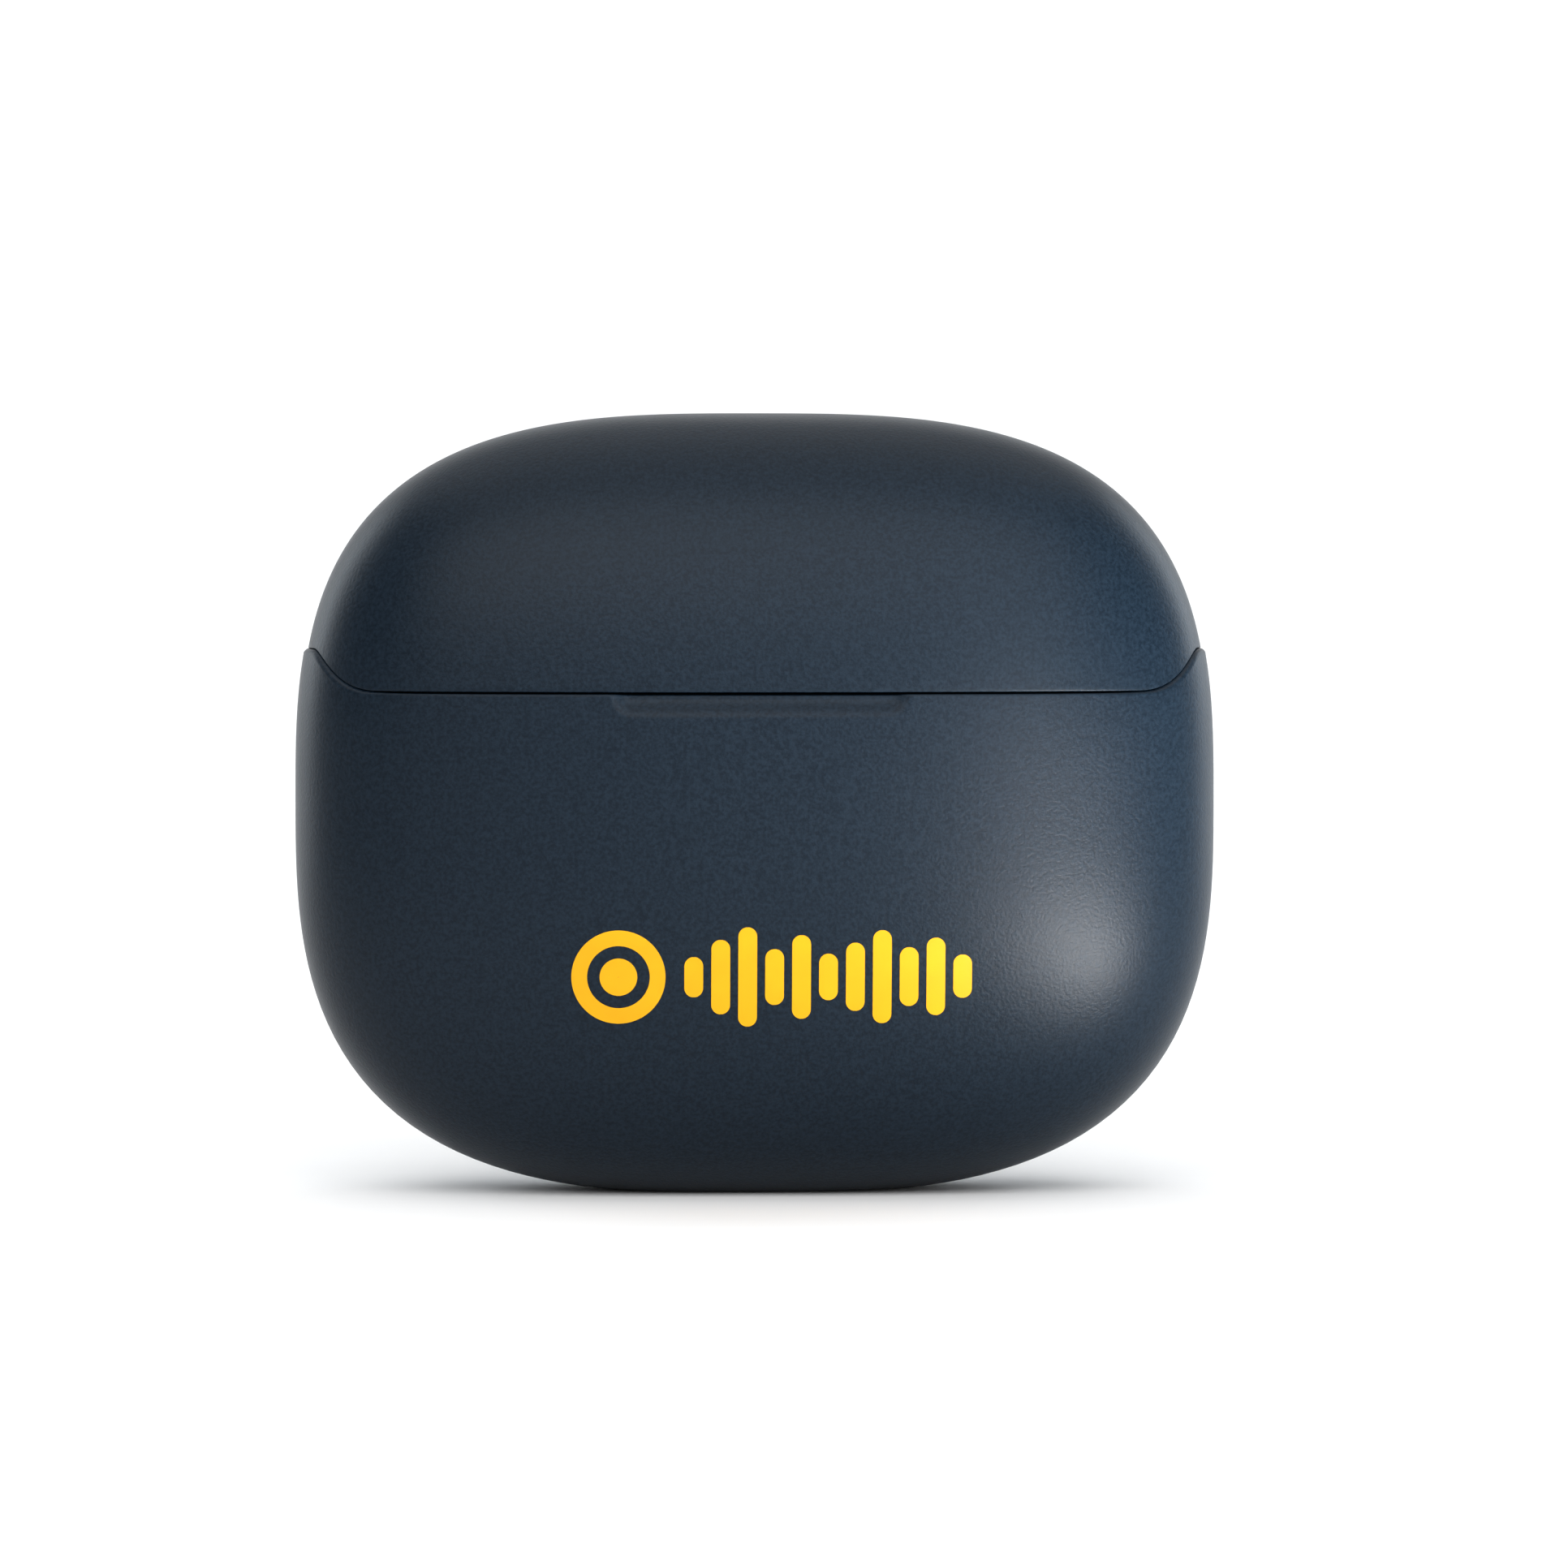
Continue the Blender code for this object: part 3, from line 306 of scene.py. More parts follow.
MATERIALS = {
    "soft_touch": soft_touch(),
    "inner_plastic": inner_plastic(),
    "black_plastic": moulded("black_plastic", (0.008, 0.008, 0.009), (0.014, 0.014, 0.015), 0.4, 5000, 0.3),
    "steel": metal("steel", (0.5, 0.5, 0.49), (0.62, 0.61, 0.6), 0.3, (1, 8, 8)),
    "gold": metal("gold_plate", (0.8, 0.55, 0.2), (0.9, 0.66, 0.28), 0.24, (4, 4, 1)),
    "magnet": metal("nickel_plate", (0.46, 0.46, 0.44), (0.58, 0.57, 0.54), 0.28),
    "board": board_green(),
    "chip": moulded("chip_package", (0.009, 0.009, 0.01), (0.016, 0.016, 0.017), 0.5, 4000, 0.4),
    "cell_wrap": metal("pouch_foil", (0.42, 0.43, 0.45), (0.56, 0.57, 0.58), 0.34, (1, 1, 5)),
    "foam": moulded("foam", (0.02, 0.02, 0.022), (0.035, 0.035, 0.037), 0.9, 2500, 1.0),
    "red_lead": moulded("red_insulation", (0.42, 0.012, 0.01), (0.5, 0.018, 0.014), 0.42, 3000, 0.15),
    "black_lead": moulded("black_insulation", (0.01, 0.01, 0.01), (0.016, 0.016, 0.016), 0.42, 3000, 0.15),
    "light_guide": clear_frosted(),
    "flat_cable": moulded("polyimide", (0.4, 0.17, 0.025), (0.5, 0.23, 0.035), 0.32, 3000, 0.1),
    "print": ink(),
}


# ---------------------------------------------------------------- the pebble, as numpy surfaces


def outline_reach(x, z):
    """The share of the way to the pebble's front-view outline, with x and z from -1 to 1."""
    power = np.where(z > 0, UPPER_OUTLINE_POWER, LOWER_OUTLINE_POWER)
    return (np.abs(x) ** power + np.abs(z) ** power) ** (1 / power)


def reach(points, half):
    """How far out each point lies, as a share of the way to the pebble's surface."""
    x, y, z = ((points - CENTRE) / half).T
    return (outline_reach(x, z) ** DEPTH_POWER + np.abs(y) ** DEPTH_POWER) ** (1 / DEPTH_POWER)


def on_surface(azimuth, latitude, half):
    """Where rays from the centre, at these angles, meet the pebble."""
    direction = np.stack([
        np.cos(latitude) * np.cos(azimuth),
        np.cos(latitude) * np.sin(azimuth),
        np.sin(latitude),
    ], axis=-1) * half
    flat = direction.reshape(-1, 3)
    return (flat / reach(flat + CENTRE, half)[:, None] + CENTRE).reshape(direction.shape)


def outward(points, half):
    """Unit normals of the pebble at these points."""
    flat = points.reshape(-1, 3)
    step = 1e-6
    slope = np.stack([
        reach(flat + step * axis, half) - reach(flat - step * axis, half) for axis in np.eye(3)
    ], axis=-1)
    return (slope / np.linalg.norm(slope, axis=-1, keepdims=True)).reshape(points.shape)


def eased(value, start, end):
    """From 0 where the value is at start to 1 where it is at end, level at both."""
    t = np.clip((value - start) / (end - start), 0, 1)
    return t * t * (3 - 2 * t)


def rising_seam(y):
    """The parting surface's height at this y, without its arc: level, then up to the rear's height."""
    return FRONT_SEAM_Z + (REAR_SEAM_Z - FRONT_SEAM_Z) * eased(y, RISE_START_Y, RISE_END_Y)


def seam_height(y, lift):
    """The parting surface's height at this y, lifted by this much: it doesn't change along X."""
    behind = np.clip(y - HINGE_Y, 0, None)
    rim = SEAM_ARC_RADIUS + lift
    round_pin = HINGE_Z + np.sqrt(np.clip(rim**2 - behind**2, 1e-12, None))
    return np.where(y > HINGE_Y, round_pin, rising_seam(y) + lift)


def seam_latitude(azimuth, half, lift):
    """The latitude at which each azimuth's meridian crosses the parting surface, found by halving."""
    low, high = np.full_like(azimuth, -1.0), np.full_like(azimuth, 1.4)
    for _ in range(40):
        middle = (low + high) / 2
        points = on_surface(azimuth, middle, half)
        above = points[:, 2] > seam_height(points[:, 1], lift)
        high = np.where(above, middle, high)
        low = np.where(above, low, middle)
    return (low + high) / 2


def columns():
    """Azimuths all round, closer together at the ends of the finger notch."""
    front = 270
    even = np.arange(0, 360, 1.5)
    notch_end = np.arange(14.5, 20.0, 0.2)
    angles = np.unique(np.round(np.concatenate([even, front - notch_end, front + notch_end]), 3))
    return np.radians(angles)


def notch_depth(points):
    """How deep the finger notch is at each point of the front."""
    x, y, z = points[..., 0], points[..., 1], points[..., 2]
    beside = np.abs(x) - (NOTCH_HALF_WIDTH - NOTCH_CORNER)
    below = FRONT_SEAM_Z - NOTCH_HEIGHT + NOTCH_CORNER - z
    edge = np.hypot(np.clip(beside, 0, None), np.clip(below, 0, None)) - NOTCH_CORNER
    return np.where(y < 0, NOTCH_DEPTH * eased(edge, NOTCH_LIP, NOTCH_LIP - NOTCH_SLOPE), 0)


def mesh_object(name, points, faces):
    mesh = bpy.data.meshes.new(name)
    mesh.from_pydata([tuple(point) for point in points], [], faces)
    obj = bpy.data.objects.new(name, mesh)
    bpy.context.scene.collection.objects.link(obj)
    return obj


def outside_out(obj):
    """Merges points that coincide and turns every face outward."""
    shape = bmesh.new()
    shape.from_mesh(obj.data)
    bmesh.ops.remove_doubles(shape, verts=shape.verts, dist=1e-7)
    bmesh.ops.recalc_face_normals(shape, faces=shape.faces)
    shape.to_mesh(obj.data)
    shape.free()


def closed_rows(name, first_pole, rows, last_pole):
    """A closed surface through rings of points, from one pole to the other, facing out."""
    count = rows.shape[1]
    points = np.concatenate([[first_pole], rows.reshape(-1, 3), [last_pole]])
    faces = []
    for row in range(len(rows) - 1):
        start = 1 + row * count
        for i in range(count):
            j = (i + 1) % count
            faces.append((start + i, start + j, start + count + j, start + count + i))
    last = len(points) - 1
    end = last - count
    for i in range(count):
        j = (i + 1) % count
        faces.append((0, 1 + j, 1 + i))
        faces.append((last, end + i, end + j))
    obj = mesh_object(name, points, faces)
    outside_out(obj)
    return obj


def unit(vectors):
    """The vectors made one long."""
    return vectors / np.linalg.norm(vectors, axis=1, keepdims=True)


def shell(name, half, lift, towards, edge, side_edge, bite=None):
    """A moulded shell from the parting line to a pole (towards is -1 down, +1 up) with a rounded rim.

    Its rim lies at lift from the parting line and is rounded by edge. At the sides the lift falls to a
    quarter, and the rounding grows by the share side_edge. bite says how deep the surface is pressed in.
    """
    azimuth = columns()
    sideways = np.abs(np.cos(azimuth)) ** 6  # 1 at the two sides, and soon 0 away from them
    lift = lift * (1 - 0.75 * sideways)
    edge = edge * (1 + side_edge * sideways)[:, None]
    seam = seam_latitude(azimuth, half, lift)
    rim = on_surface(azimuth, seam, half)
    pole = towards * math.pi / 2
    small_turn = 0.002
    ahead = on_surface(azimuth, seam + towards * small_turn, half)
    per_radian = np.linalg.norm(ahead - rim, axis=1) / small_turn

    from_rim = np.concatenate([np.arange(0.25, 2.6, 0.09), np.arange(2.75, 4.2, 0.3)]) * MM
    latitudes = [seam + towards * distance / per_radian for distance in from_rim]
    start = latitudes[-1]
    rings_to_pole = 50
    for share in np.linspace(0, 1, rings_to_pole + 2)[1:-1]:
        latitudes.append(start + (pole - start) * share)
    surface = np.stack([on_surface(azimuth, latitude, half) for latitude in latitudes])
    surface_out, rim_out = outward(surface, half), outward(rim, half)
    outer = surface - surface_out * bite(surface)[..., None] if bite else surface.copy()
    rim_outer = rim - rim_out * bite(rim)[:, None] if bite else rim.copy()

    inner_rim = rim - rim_out * WALL
    inner_rim[:, 2] = seam_height(inner_rim[:, 1], lift)
    across = unit(inner_rim - rim_outer)
    along = unit(outer[0] - rim_outer)
    rounding = [
        rim_outer + edge * along * (1 - math.sin(a)) + edge * across * (1 - math.cos(a))
        for a in np.linspace(0, math.pi / 2, 6)
    ]
    flat = [rim_outer + (inner_rim - rim_outer) * share for share in (0.35, 0.6, 0.85, 1.0)]
    rings_left_off = 5  # inside, next to the flat of the rim
    inner = surface[rings_left_off:] - surface_out[rings_left_off:] * WALL

    softness = 0.1 * MM  # how gently the pebble meets the level that it stands on
    outer[..., 2] = (outer[..., 2] + np.sqrt(outer[..., 2] ** 2 + softness**2)) / 2
    rows = np.stack([*outer[::-1], *rounding, *flat, *inner])
    up = np.array([0, 0, towards])
    tip = CENTRE + up * half
    tip[2] = max(tip[2], 0.01 * MM)
    return closed_rows(name, tip, rows, CENTRE + up * (half - WALL))


# ---------------------------------------------------------------- shapes that are cut and joined


# Turns for prisms: their outline's (u, v) become (y, z) or (x, z), and their length lies along the axis.
ALONG_X = (math.pi / 2, 0, math.pi / 2)
ALONG_Y = (math.pi / 2, 0, 0)


def as_mesh(curve_obj):
    """Puts a mesh object in the place of a curve object."""
    bpy.context.view_layer.update()
    graph = bpy.context.evaluated_depsgraph_get()
    mesh = bpy.data.meshes.new_from_object(curve_obj.evaluated_get(graph))
    obj = bpy.data.objects.new(curve_obj.name, mesh)
    obj.matrix_world = curve_obj.matrix_world
    bpy.context.scene.collection.objects.link(obj)
    bpy.data.objects.remove(curve_obj)
    outside_out(obj)
    return obj


def curve_object(name, dimensions, route, closed=False):
    """A curve object with straight stretches between the points of its route."""
    curve = bpy.data.curves.new(name, "CURVE")
    curve.dimensions = dimensions
    spline = curve.splines.new("POLY")
    spline.points.add(len(route) - 1)
    for point, place in zip(spline.points, route):
        point.co = (*place, 1)
    spline.use_cyclic_u = closed
    obj = bpy.data.objects.new(name, curve)
    bpy.context.scene.collection.objects.link(obj)
    return obj


def prism(outline, length, turn, centre=(0, 0, 0)):
    """A solid of this length with a flat outline of (u, v) points."""
    obj = curve_object("outline", "2D", [(u, v, 0) for u, v in outline], closed=True)
    obj.data.fill_mode = "BOTH"
    obj.data.extrude = length / 2
    obj.location = centre
    obj.rotation_euler = turn
    return as_mesh(obj)


def tube(name, route, radius):
    """A round wire along a route."""
    obj = curve_object(name, "3D", route)
    obj.data.bevel_depth = radius
    obj.data.bevel_resolution = 4
    obj.data.use_fill_caps = True
    made = as_mesh(obj)
    made.name = name
    return made


def arc(centre, radius, start, end, steps):
    """Points on an arc between two angles in degrees."""
    angles = [math.radians(start + (end - start) * step / steps) for step in range(steps + 1)]
    return [(centre[0] + radius * math.cos(a), centre[1] + radius * math.sin(a)) for a in angles]


def rounded_rectangle(width, height, radius, steps=8):
    points = []
    for x_side, y_side, start in ((1, 1, 0), (-1, 1, 90), (-1, -1, 180), (1, -1, 270)):
        centre = (x_side * (width / 2 - radius), y_side * (height / 2 - radius))
        points += arc(centre, radius, start, start + 90, steps)
    return points


def span(low, high, bevel=0.0):
    """A block between two opposite corners, in millimetres."""
    low, high = (np.array(corner, float) * MM for corner in (low, high))
    bpy.ops.mesh.primitive_cube_add(size=1, location=(low + high) / 2)
    obj = bpy.context.object
    obj.data.transform(Matrix.Diagonal((*(high - low), 1)))
    if bevel:
        edges = obj.modifiers.new("edges", "BEVEL")
        edges.width = bevel * MM
        edges.segments = 4
        settle(obj)
    return obj


def rod(radius, length, centre, axis="Z", sides=48):
    """A cylinder, in millimetres."""
    turn = {"X": (0, math.pi / 2, 0), "Y": (math.pi / 2, 0, 0), "Z": (0, 0, 0)}[axis]
    bpy.ops.mesh.primitive_cylinder_add(
        vertices=sides, radius=radius * MM, depth=length * MM, location=Vector(centre) * MM, rotation=turn
    )
    return bpy.context.object


def pin_hole(length, middle_x=0.0):
    """What the hinge pin's hole is cut with: a rod on the lid's axis, in millimetres."""
    radius = 0.75
    return rod(radius, length, (middle_x, HINGE_Y / MM, HINGE_Z / MM), "X")


def ball(radii, centre):
    """An ellipsoid, in millimetres."""
    bpy.ops.mesh.primitive_uv_sphere_add(segments=64, ring_count=40, radius=1, location=Vector(centre) * MM)
    obj = bpy.context.object
    obj.data.transform(Matrix.Diagonal((*[radius * MM for radius in radii], 1)))
    return obj


def settle(obj):
    """Applies the object's modifiers and its place to its mesh."""
    bpy.context.view_layer.update()
    graph = bpy.context.evaluated_depsgraph_get()
    mesh = bpy.data.meshes.new_from_object(obj.evaluated_get(graph))
    mesh.transform(obj.matrix_world)
    obj.modifiers.clear()
    obj.data = mesh
    obj.matrix_world = Matrix.Identity(4)


def boolean(target, operation, tools):
    """Joins the tools to the target, cuts them from it or keeps what they share, and removes them."""
    for tool in tools:
        modifier = target.modifiers.new("boolean", "BOOLEAN")
        modifier.operation = operation
        modifier.object = tool
    settle(target)
    for tool in tools:
        bpy.data.objects.remove(tool)


def dense_pebble(half, rings=72):
    """The whole pebble, fine enough to cut the visible pieces with."""
    azimuth = np.radians(np.arange(0, 360, 3.0))
    latitudes = np.radians(np.linspace(-90, 90, rings)[1:-1])
    rows = np.stack([on_surface(azimuth, np.full_like(azimuth, angle), half) for angle in latitudes])
    up = np.array([0, 0, 1])
    return closed_rows("pebble", CENTRE - up * half, rows, CENTRE + up * half)


def seam_prism(low, high):
    """The slab between the parting surface at two lifts, running level to the rear."""
    beyond = 40 * MM  # past the case on every side
    ys = np.concatenate([[-beyond], np.linspace(RISE_START_Y, RISE_END_Y, 40), [beyond]])
    under = list(zip(ys, rising_seam(ys) + low))
    over = list(zip(ys, rising_seam(ys) + high))
    return prism(under + over[::-1], 2 * beyond, ALONG_X)


def mirrored(obj):
    """Keeps a piece's left half and makes the right half its mirror image."""
    mirror = obj.modifiers.new("mirror", "MIRROR")
    mirror.use_bisect_axis[0] = True
    mirror.use_bisect_flip_axis[0] = True
    settle(obj)


def soften(obj, voxel=0.2 * MM, keep=0.4):
    """Rounds every edge a little: an even remesh, smoothed, then thinned to a share of its faces."""
    remesh = obj.modifiers.new("remesh", "REMESH")
    remesh.mode = "VOXEL"
    remesh.voxel_size = voxel
    smooth = obj.modifiers.new("smooth", "SMOOTH")
    smooth.factor = 0.5
    smooth.iterations = 8
    thin = obj.modifiers.new("thin", "DECIMATE")
    thin.ratio = keep
    settle(obj)


def smooth_shaded(obj, angle=35):
    """Smooth shading, with a crease where faces meet at more than this angle."""
    obj.data.shade_smooth()
    obj.data.set_sharp_from_angle(angle=math.radians(angle))


def dress(obj, name, slot, body=None, replaces=()):
    """Gives a finished piece its name, material, body and the CAD nodes that it stands for."""
    obj.name = name
    obj.data.name = name
    obj.data.materials.clear()
    obj.data.materials.append(MATERIALS[slot])
    if body:
        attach(obj, body)
    if replaces:
        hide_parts(*replaces)


# ---------------------------------------------------------------- base


def lower_shell():
    """The base's shell, with two bosses for the pin, the USB-C opening and room for the lid's arm."""
    lift, edge = -SEAM_GAP / 2, 0.12 * MM
    obj = shell("lower_shell_fine", HALF_SIZE, lift, -1, edge, side_edge=1.8, bite=notch_depth)
    boss_x, half_boss = 10.75, 1.45
    front, back, bottom, top = 9.8, 12.4, 30.1, 34.0
    bosses = [
        span((side * boss_x - half_boss, front, bottom), (side * boss_x + half_boss, back, top), bevel=0.3)
        for side in SIDES
    ]
    boolean(obj, "UNION", bosses)
    port_width, port_height, port_corner = 9.6 * MM, 3.9 * MM, 1.93 * MM
    port_outline = rounded_rectangle(port_width, port_height, port_corner)
    port = prism(port_outline, 8 * MM, ALONG_Y, centre=(0, 13 * MM, 10.93 * MM))
    room_for_arm = span((-9.3, 9.5, 29.7), (9.3, 20, 45), bevel=0.35)
    boolean(obj, "DIFFERENCE", [port, room_for_arm, pin_hole(24.7, 0.45)])
    smooth_shaded(obj)
    dress(obj, "lower_shell_fine", "soft_touch", "base", ["lower_shell"])


def left_well_form(grow):
    """The space in the left well, for an earbud's head, tip and stem, or its outside when it grows."""
    head = ball([radius + grow for radius in HEAD_RADII], LEFT_HEAD_CENTRE)
    tip = ball([TIP_RADIUS + grow] * 3, LEFT_TIP_CENTRE)
    floor = STEM_FLOOR_Z - (STEM_FLOOR_THICKNESS if grow else 0)
    top = LEFT_HEAD_CENTRE[2]
    half_width, half_depth = (radius + grow for radius in STEM_RADII)
    stem = rod(1, top - floor, (0, 0, 0), sides=64)
    stem.data.transform(Matrix.Diagonal((half_width, half_depth, 1, 1)))
    stem.location = Vector((-STEM_OUT, STEM_Y, (top + floor) / 2)) * MM
    return [head, tip, stem]


def cradle():
    """The tray between the shells: a deck that follows the parting surface, and the two wells."""
    obj = seam_prism(-DECK_DROP - DECK_THICKNESS, -DECK_DROP)
    boolean(obj, "UNION", left_well_form(WELL_WALL))
    boolean(obj, "INTERSECT", [dense_pebble(HALF_SIZE - WALL - LINING_GAP)])
    contact_radius, light_radius = 0.75, 1.35
    pin_holes = [
        rod(contact_radius, 3, (shift - STEM_OUT, STEM_Y, STEM_FLOOR_Z))
        for shift in CONTACT_SHIFTS.values()
    ]
    room_for_hinge = span((-12.6, 8.9, 25), (12.6, 30, 50))
    above = seam_prism(-DECK_DROP, 30 * MM)
    light_hole = rod(light_radius, 8, (0, -6.2, 33))
    boolean(obj, "DIFFERENCE", [above, *left_well_form(0), *pin_holes, room_for_hinge, light_hole])
    mirrored(obj)
    soften(obj)
    smooth_shaded(obj, 180)
    dress(obj, "cradle_fine", "inner_plastic", "base", ["cradle"])


# ---------------------------------------------------------------- lid


def lid_shell():
    """The lid's shell. Its rim is sharper at the sides, where it meets the base's rounder one."""
    lift, edge = SEAM_GAP / 2, 0.1 * MM
    obj = shell("lid_shell_fine", LID_HALF_SIZE, lift, 1, edge, side_edge=-0.6)
    smooth_shaded(obj)
    dress(obj, "lid_shell_fine", "soft_touch", "lid", ["lid_shell"])


def lid_liner():
    """The lid's inner moulding: a rim over the parting surface, and a bowl that clears the earbuds."""
    insets = np.array([3.6, 4.8, 2.6]) * MM
    wall, rim_lift = 1.0 * MM, 0.5 * MM
    obj = seam_prism(rim_lift, rim_lift + wall)
    bowl = dense_pebble(HALF_SIZE - insets)
    boolean(bowl, "DIFFERENCE", [seam_prism(-60 * MM, rim_lift + wall / 2)])
    boolean(obj, "UNION", [bowl])
    boolean(obj, "INTERSECT", [dense_pebble(LID_HALF_SIZE - WALL - LINING_GAP)])
    inside = dense_pebble(HALF_SIZE - insets - wall)
    room_for_arm = span((-9.4, 8.3, 30), (9.4, 30, 60))
    boolean(obj, "DIFFERENCE", [inside, room_for_arm])
    mirrored(obj)
    soften(obj)
    smooth_shaded(obj, 180)
    dress(obj, "lid_liner_fine", "inner_plastic", "lid", ["lid_liner"])


def lid_hinge_arm():
    """The plate that the lid carries at the rear, with the barrels that turn on the pin."""
    front, back, top = 9.3 * MM, 10.2 * MM, 38.8 * MM
    barrel_radius, step_over_pin = 1.6 * MM, 0.9 * MM
    hinge = (HINGE_Y, HINGE_Z)
    rim = SEAM_ARC_RADIUS - ARM_GAP
    rim_start, rim_end = math.degrees(math.acos((back - HINGE_Y) / rim)), 25
    outline = [
        (front, top),
        (back, top),
        *arc(hinge, rim, rim_start, rim_end, 24),
        *arc(hinge, barrel_radius, 0, -180, 32),
        (front, HINGE_Z + step_over_pin),
    ]
    obj = prism(outline, 2 * ARM_HALF_WIDTH, ALONG_X)
    under_surface = 0.08 * MM
    boolean(obj, "INTERSECT", [dense_pebble(HALF_SIZE - under_surface, 120)])
    z = HINGE_Z / MM
    screw_holes = [rod(0.85, 4, (side * 5.5, 9.3, 37.5), "Y") for side in SIDES]
    room_for_spring = span((-3.0, 8.0, z - 1.8), (3.0, 12.6, z + 1.8))
    boolean(obj, "DIFFERENCE", [room_for_spring, pin_hole(27), *screw_holes])
    bevel = obj.modifiers.new("edges", "BEVEL")
    bevel.width = 0.12 * MM
    bevel.segments = 3
    bevel.limit_method = "ANGLE"
    bevel.angle_limit = math.radians(50)
    settle(obj)
    smooth_shaded(obj, 40)
    dress(obj, "lid_hinge_arm_fine", "soft_touch", "lid", ["lid_hinge_arm"])


# ---------------------------------------------------------------- springs


def coil(turns, radius, length, per_turn=24):
    """Points along a coil round +Z, from 0 to its length."""
    steps = int(turns * per_turn)
    for step in range(steps + 1):
        angle = 2 * math.pi * step / per_turn
        yield radius * math.cos(angle), radius * math.sin(angle), length * step / steps


def hinge_spring():
    """The torsion spring, which winds up: its left leg bears on the base, its right leg on the arm."""
    half, radius, wire, turns = 2.3 * MM, 0.82 * MM, 0.14 * MM, 7
    left_leg_end = (-half, HINGE_Y + 0.1 * MM, HINGE_Z - 3.2 * MM)
    right_leg_end = (half, HINGE_Y - 1.02 * MM, HINGE_Z + 1.5 * MM)
    route = [left_leg_end]
    for across, up, along in coil(turns, radius, 2 * half):
        route.append((along - half, HINGE_Y - across, HINGE_Z - up))
    route.append(right_leg_end)
    obj = tube("hinge_spring_fine", route, wire)
    smooth_shaded(obj, 60)
    dress(obj, "hinge_spring_fine", "steel", replaces=["hinge_spring"])
    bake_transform(obj)


def contact_springs():
    """The coil under each contact pin, which shortens as its pin is pressed."""
    radius, wire, turns = 0.55 * MM, 0.1 * MM, 3.5
    for name, side in (("left", -1), ("right", 1)):
        for place, shift in CONTACT_SHIFTS.items():
            node = f"contact_spring_{name}_{place}"
            low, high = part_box(node)
            x, y = side * (STEM_OUT + shift) * MM, STEM_Y * MM
            rise = high[2] - low[2] - 2 * wire
            route = [(x + u, y + v, low[2] + wire + w) for u, v, w in coil(turns, radius, rise)]
            obj = tube(node + "_fine", route, wire)
            smooth_shaded(obj, 60)
            dress(obj, node + "_fine", "steel", "base", [node])
            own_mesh(obj)


# ---------------------------------------------------------------- front print


def front_y(x, z):
    """The y of the base's front surface at these x and z."""
    outline = outline_reach(x / HALF_SIZE[0], (z - CENTRE[2]) / HALF_SIZE[2])
    return -HALF_SIZE[1] * (1 - outline**DEPTH_POWER) ** (1 / DEPTH_POWER)


def film(grid, closed=False):
    """Thin ink over a grid of (x, z) points on the front, in millimetres: its points and faces.

    A closed grid's last row meets its first.
    """
    proud, sunk = 0.025 * MM, 0.05 * MM
    x, z = grid[..., 0] * MM, grid[..., 1] * MM
    surface = np.stack([x, front_y(x, z), z], axis=-1)
    normal = outward(surface, HALF_SIZE)
    rows, cols = x.shape
    points = np.concatenate([
        (surface + normal * proud).reshape(-1, 3), (surface - normal * sunk).reshape(-1, 3)
    ])
    under = rows * cols
    faces = []
    for r in range(rows if closed else rows - 1):
        low, high = r * cols, (r + 1) % rows * cols
        for c in range(cols - 1):
            faces.append((low + c, low + c + 1, high + c + 1, high + c))
            faces.append((under + high + c, under + high + c + 1, under + low + c + 1, under + low + c))
        for c, way in ((0, 1), (cols - 1, -1)):
            side = (low + c, high + c, under + high + c, under + low + c)
            faces.append(side[::way])
    if not closed:
        for r, way in ((0, -1), (rows - 1, 1)):
            for c in range(cols - 1):
                a = r * cols + c
                faces.append((a, a + 1, under + a + 1, under + a)[::way])
    return points, faces


def bar_grid(x, low, high, half_width):
    """A round-ended upright bar."""
    end_rows = 1 - np.cos(np.linspace(0.12, 1, 8) * math.pi / 2)
    heights = np.concatenate([
        low + half_width * end_rows,
        np.linspace(low + half_width, high - half_width, 14)[1:-1],
        high - half_width * end_rows[::-1],
    ])
    end = np.clip(np.maximum(low + half_width - heights, heights - high + half_width), 0, half_width)
    width = np.sqrt(np.clip(half_width**2 - end**2, 0, None))
    across = np.linspace(-1, 1, 7)
    return np.stack([
        x + width[:, None] * across[None, :],
        np.repeat(heights[:, None], len(across), axis=1),
    ], axis=-1)


def ring_grid(x, z, inner, outer):
    """A flat ring, or a dot where the inner radius is next to nothing."""
    angles = np.linspace(0, 2 * math.pi, 96, endpoint=False)
    radii = np.linspace(inner, outer, 5)
    return np.stack([
        x + radii[None, :] * np.cos(angles)[:, None],
        z + radii[None, :] * np.sin(angles)[:, None],
    ], axis=-1)


def front_print():
    """A plain mark in yellow ink: a dot in a ring, then a level row of upright bars."""
    middle_z, ring_x = 14.6, -9.1
    dot_radii, ring_radii = (0.02, 1.2), (2, 3)
    films = [film(ring_grid(ring_x, middle_z, *radii), closed=True) for radii in (dot_radii, ring_radii)]
    heights = (2.6, 4.8, 6.4, 3.6, 5.4, 3.0, 4.4, 6.0, 3.8, 5.0, 2.8)
    first_x, pitch, half_width = -4.3, 1.72, 0.6
    for step, height in enumerate(heights):
        x = first_x + step * pitch
        films.append(film(bar_grid(x, middle_z - height / 2, middle_z + height / 2, half_width)))
    points, faces, start = [], [], 0
    for film_points, film_faces in films:
        points.append(film_points)
        faces += [tuple(start + i for i in face) for face in film_faces]
        start += len(film_points)
    obj = mesh_object("front_print", np.concatenate(points), faces)
    outside_out(obj)
    smooth_shaded(obj, 50)
    dress(obj, "front_print", "print", "base")


# ---------------------------------------------------------------- CAD nodes that stay


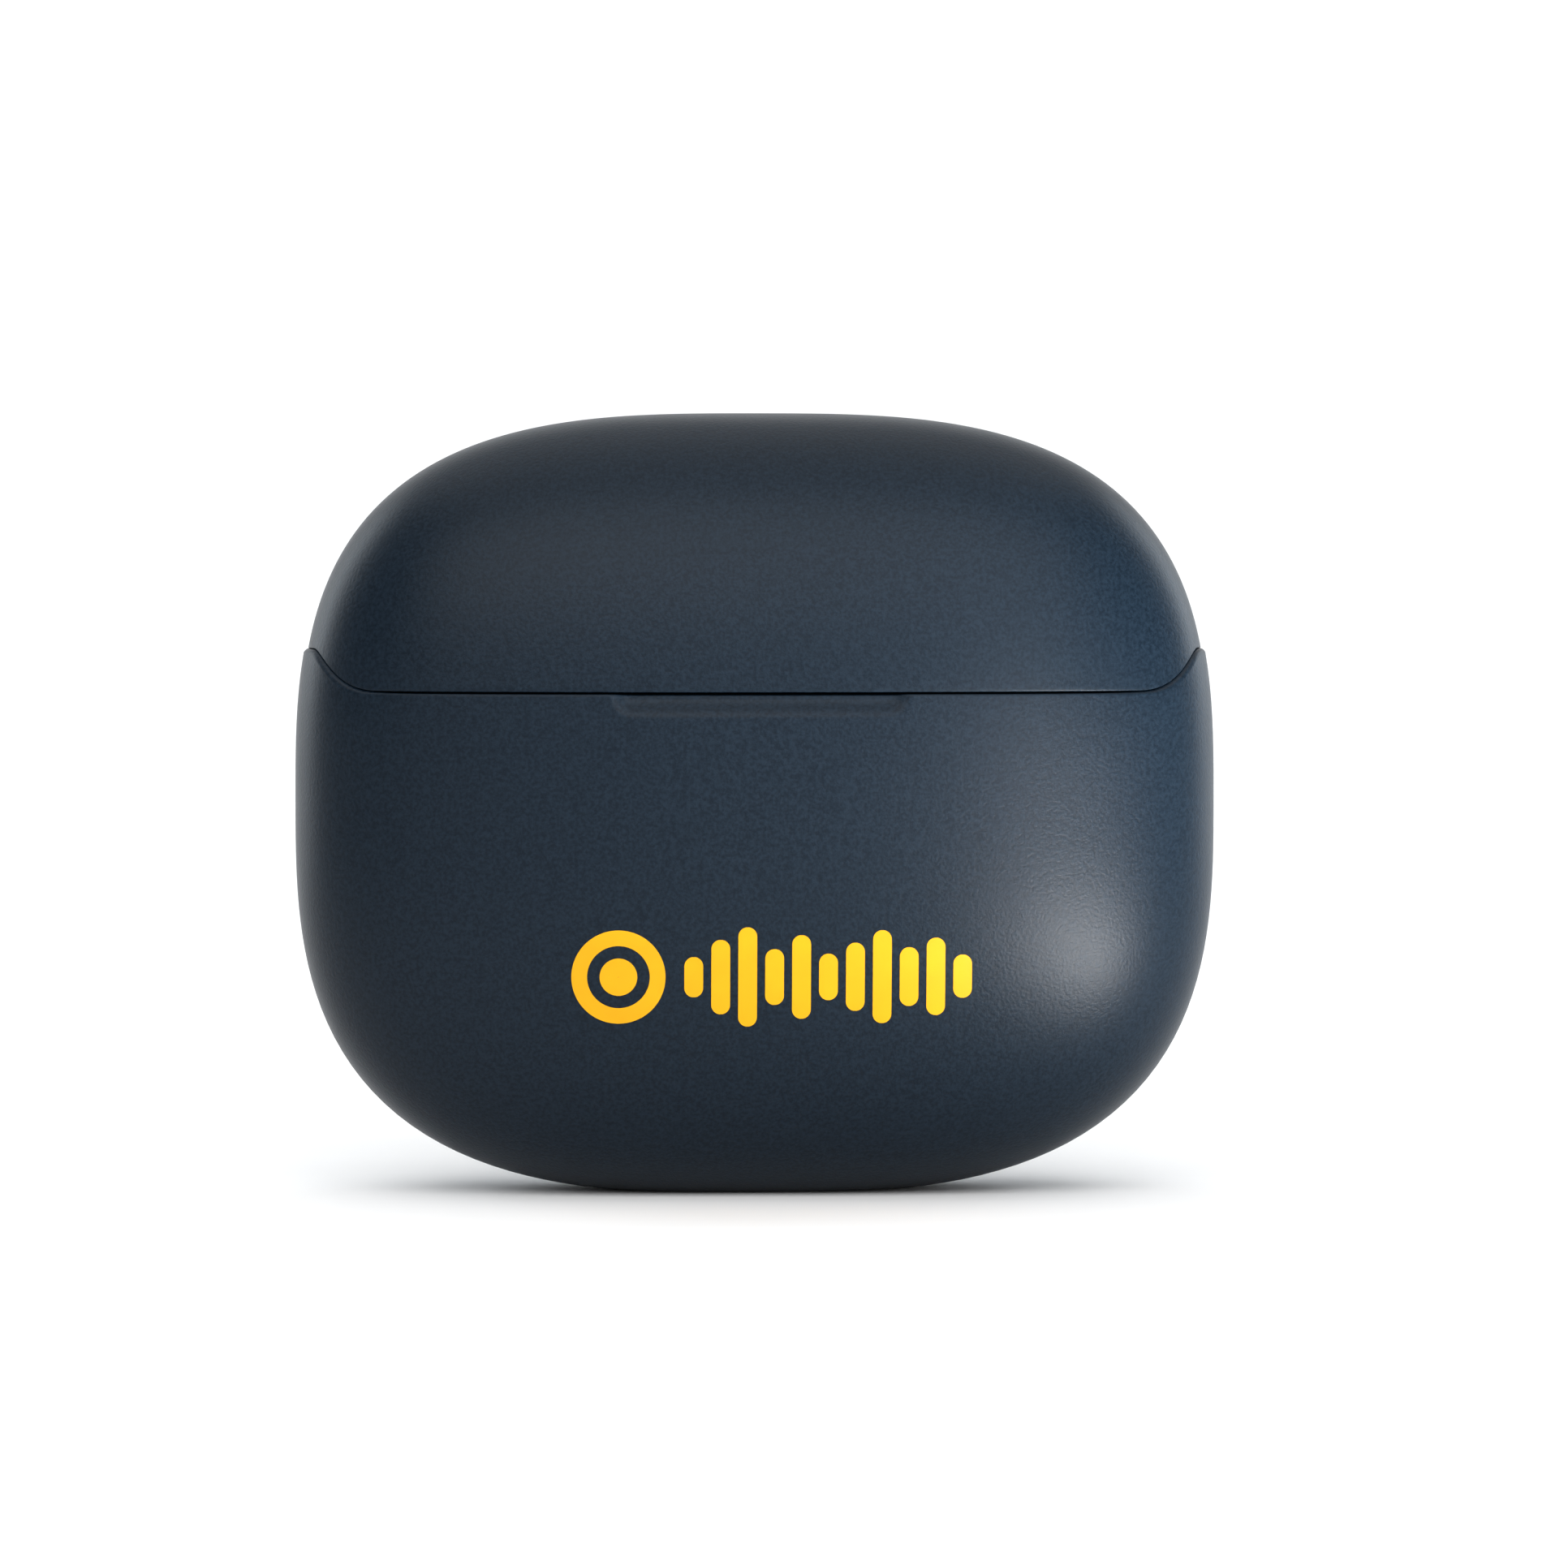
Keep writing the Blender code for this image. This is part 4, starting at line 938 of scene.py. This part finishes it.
def paint_cad_nodes():
    """Gives each CAD node that is still shown the material of its slot."""
    slots = {part["node"]: part["material_slot"] for part in frame["record"]["subparts"]}
    for node, obj in frame["nodes"].items():
        if obj.hide_render:
            continue
        obj.data.materials.clear()
        obj.data.materials.append(MATERIALS[slots[node]])


# ---------------------------------------------------------------- stage and light


def paper():
    """The stage's plain white paper."""
    made = Nodes("paper")
    made.bump((made.noise(60, 2), 0.05, 0.1 * MM))
    return made.finish(
        colour=made.blend(made.noise(30), (0.9, 0.9, 0.9), (0.92, 0.92, 0.92)),
        roughness=made.between(made.noise(40), 0.85, 0.95),
    )


def add_stage():
    """A seamless white sweep: a floor that curves up behind into a backdrop."""
    front, bend_start, radius, top, half_width = -1.2, 0.35, 0.3, 1.5, 1.5
    outline = [(front, 0.0), (bend_start, 0.0)]
    outline += [
        (bend_start + radius * math.sin(a), radius * (1 - math.cos(a)))
        for a in np.linspace(0, math.pi / 2, 24)[1:]
    ]
    outline.append((bend_start + radius, top))
    points = [(side * half_width, y, z) for side in SIDES for y, z in outline]
    count = len(outline)
    faces = [(i, count + i, count + i + 1, i + 1) for i in range(count - 1)]
    obj = mesh_object("floor", points, faces)
    obj.data.shade_smooth()
    obj.data.materials.append(paper())


def soft_light(name, place, target, size, power, colour=(1, 1, 1)):
    """A rectangular soft box that faces its target."""
    data = bpy.data.lights.new(name, "AREA")
    data.shape = "RECTANGLE"
    data.size, data.size_y = size
    data.energy = power
    data.color = colour
    obj = bpy.data.objects.new(name, data)
    bpy.context.scene.collection.objects.link(obj)
    obj.location = place
    obj.rotation_euler = (Vector(target) - Vector(place)).to_track_quat("-Z", "Y").to_euler()


def add_world():
    world = bpy.data.worlds.new("studio")
    world.use_nodes = True
    background = world.node_tree.nodes["Background"]
    background.inputs["Color"].default_value = (1, 1, 1, 1)
    background.inputs["Strength"].default_value = 0.18
    bpy.context.scene.world = world


def add_lights():
    """A light over the floor, a broad key, two that make the highlight at the lower right, and two rims."""
    middle = (0, 0, 0.025)
    soft_light("floor_light", (0, 0.1, 0.9), (0, 0.05, 0), size=(1.3, 0.9), power=4.8)
    soft_light("key_light", (0, -0.5, 0.42), middle, size=(1.1, 0.5), power=5.1)
    soft_light("side_light", (0.29, -0.54, 0.06), middle, size=(0.12, 0.2), power=0.7)
    soft_light("low_light", (0.06, -0.062, 0.0005), (0.06, -0.062, 0.1), size=(0.024, 0.056), power=0.38)
    rim_size, pale_blue = (0.3, 0.5), (0.86, 0.94, 1)
    for side in SIDES:
        soft_light("rim_light", (side * 0.55, 0.45, 0.25), middle, rim_size, power=1.6, colour=pale_blue)


lower_shell()
cradle()
lid_shell()
lid_liner()
lid_hinge_arm()
hinge_spring()
contact_springs()
front_print()
paint_cad_nodes()
add_stage()
add_world()
add_lights()
bpy.context.scene.view_settings.view_transform = "Standard"
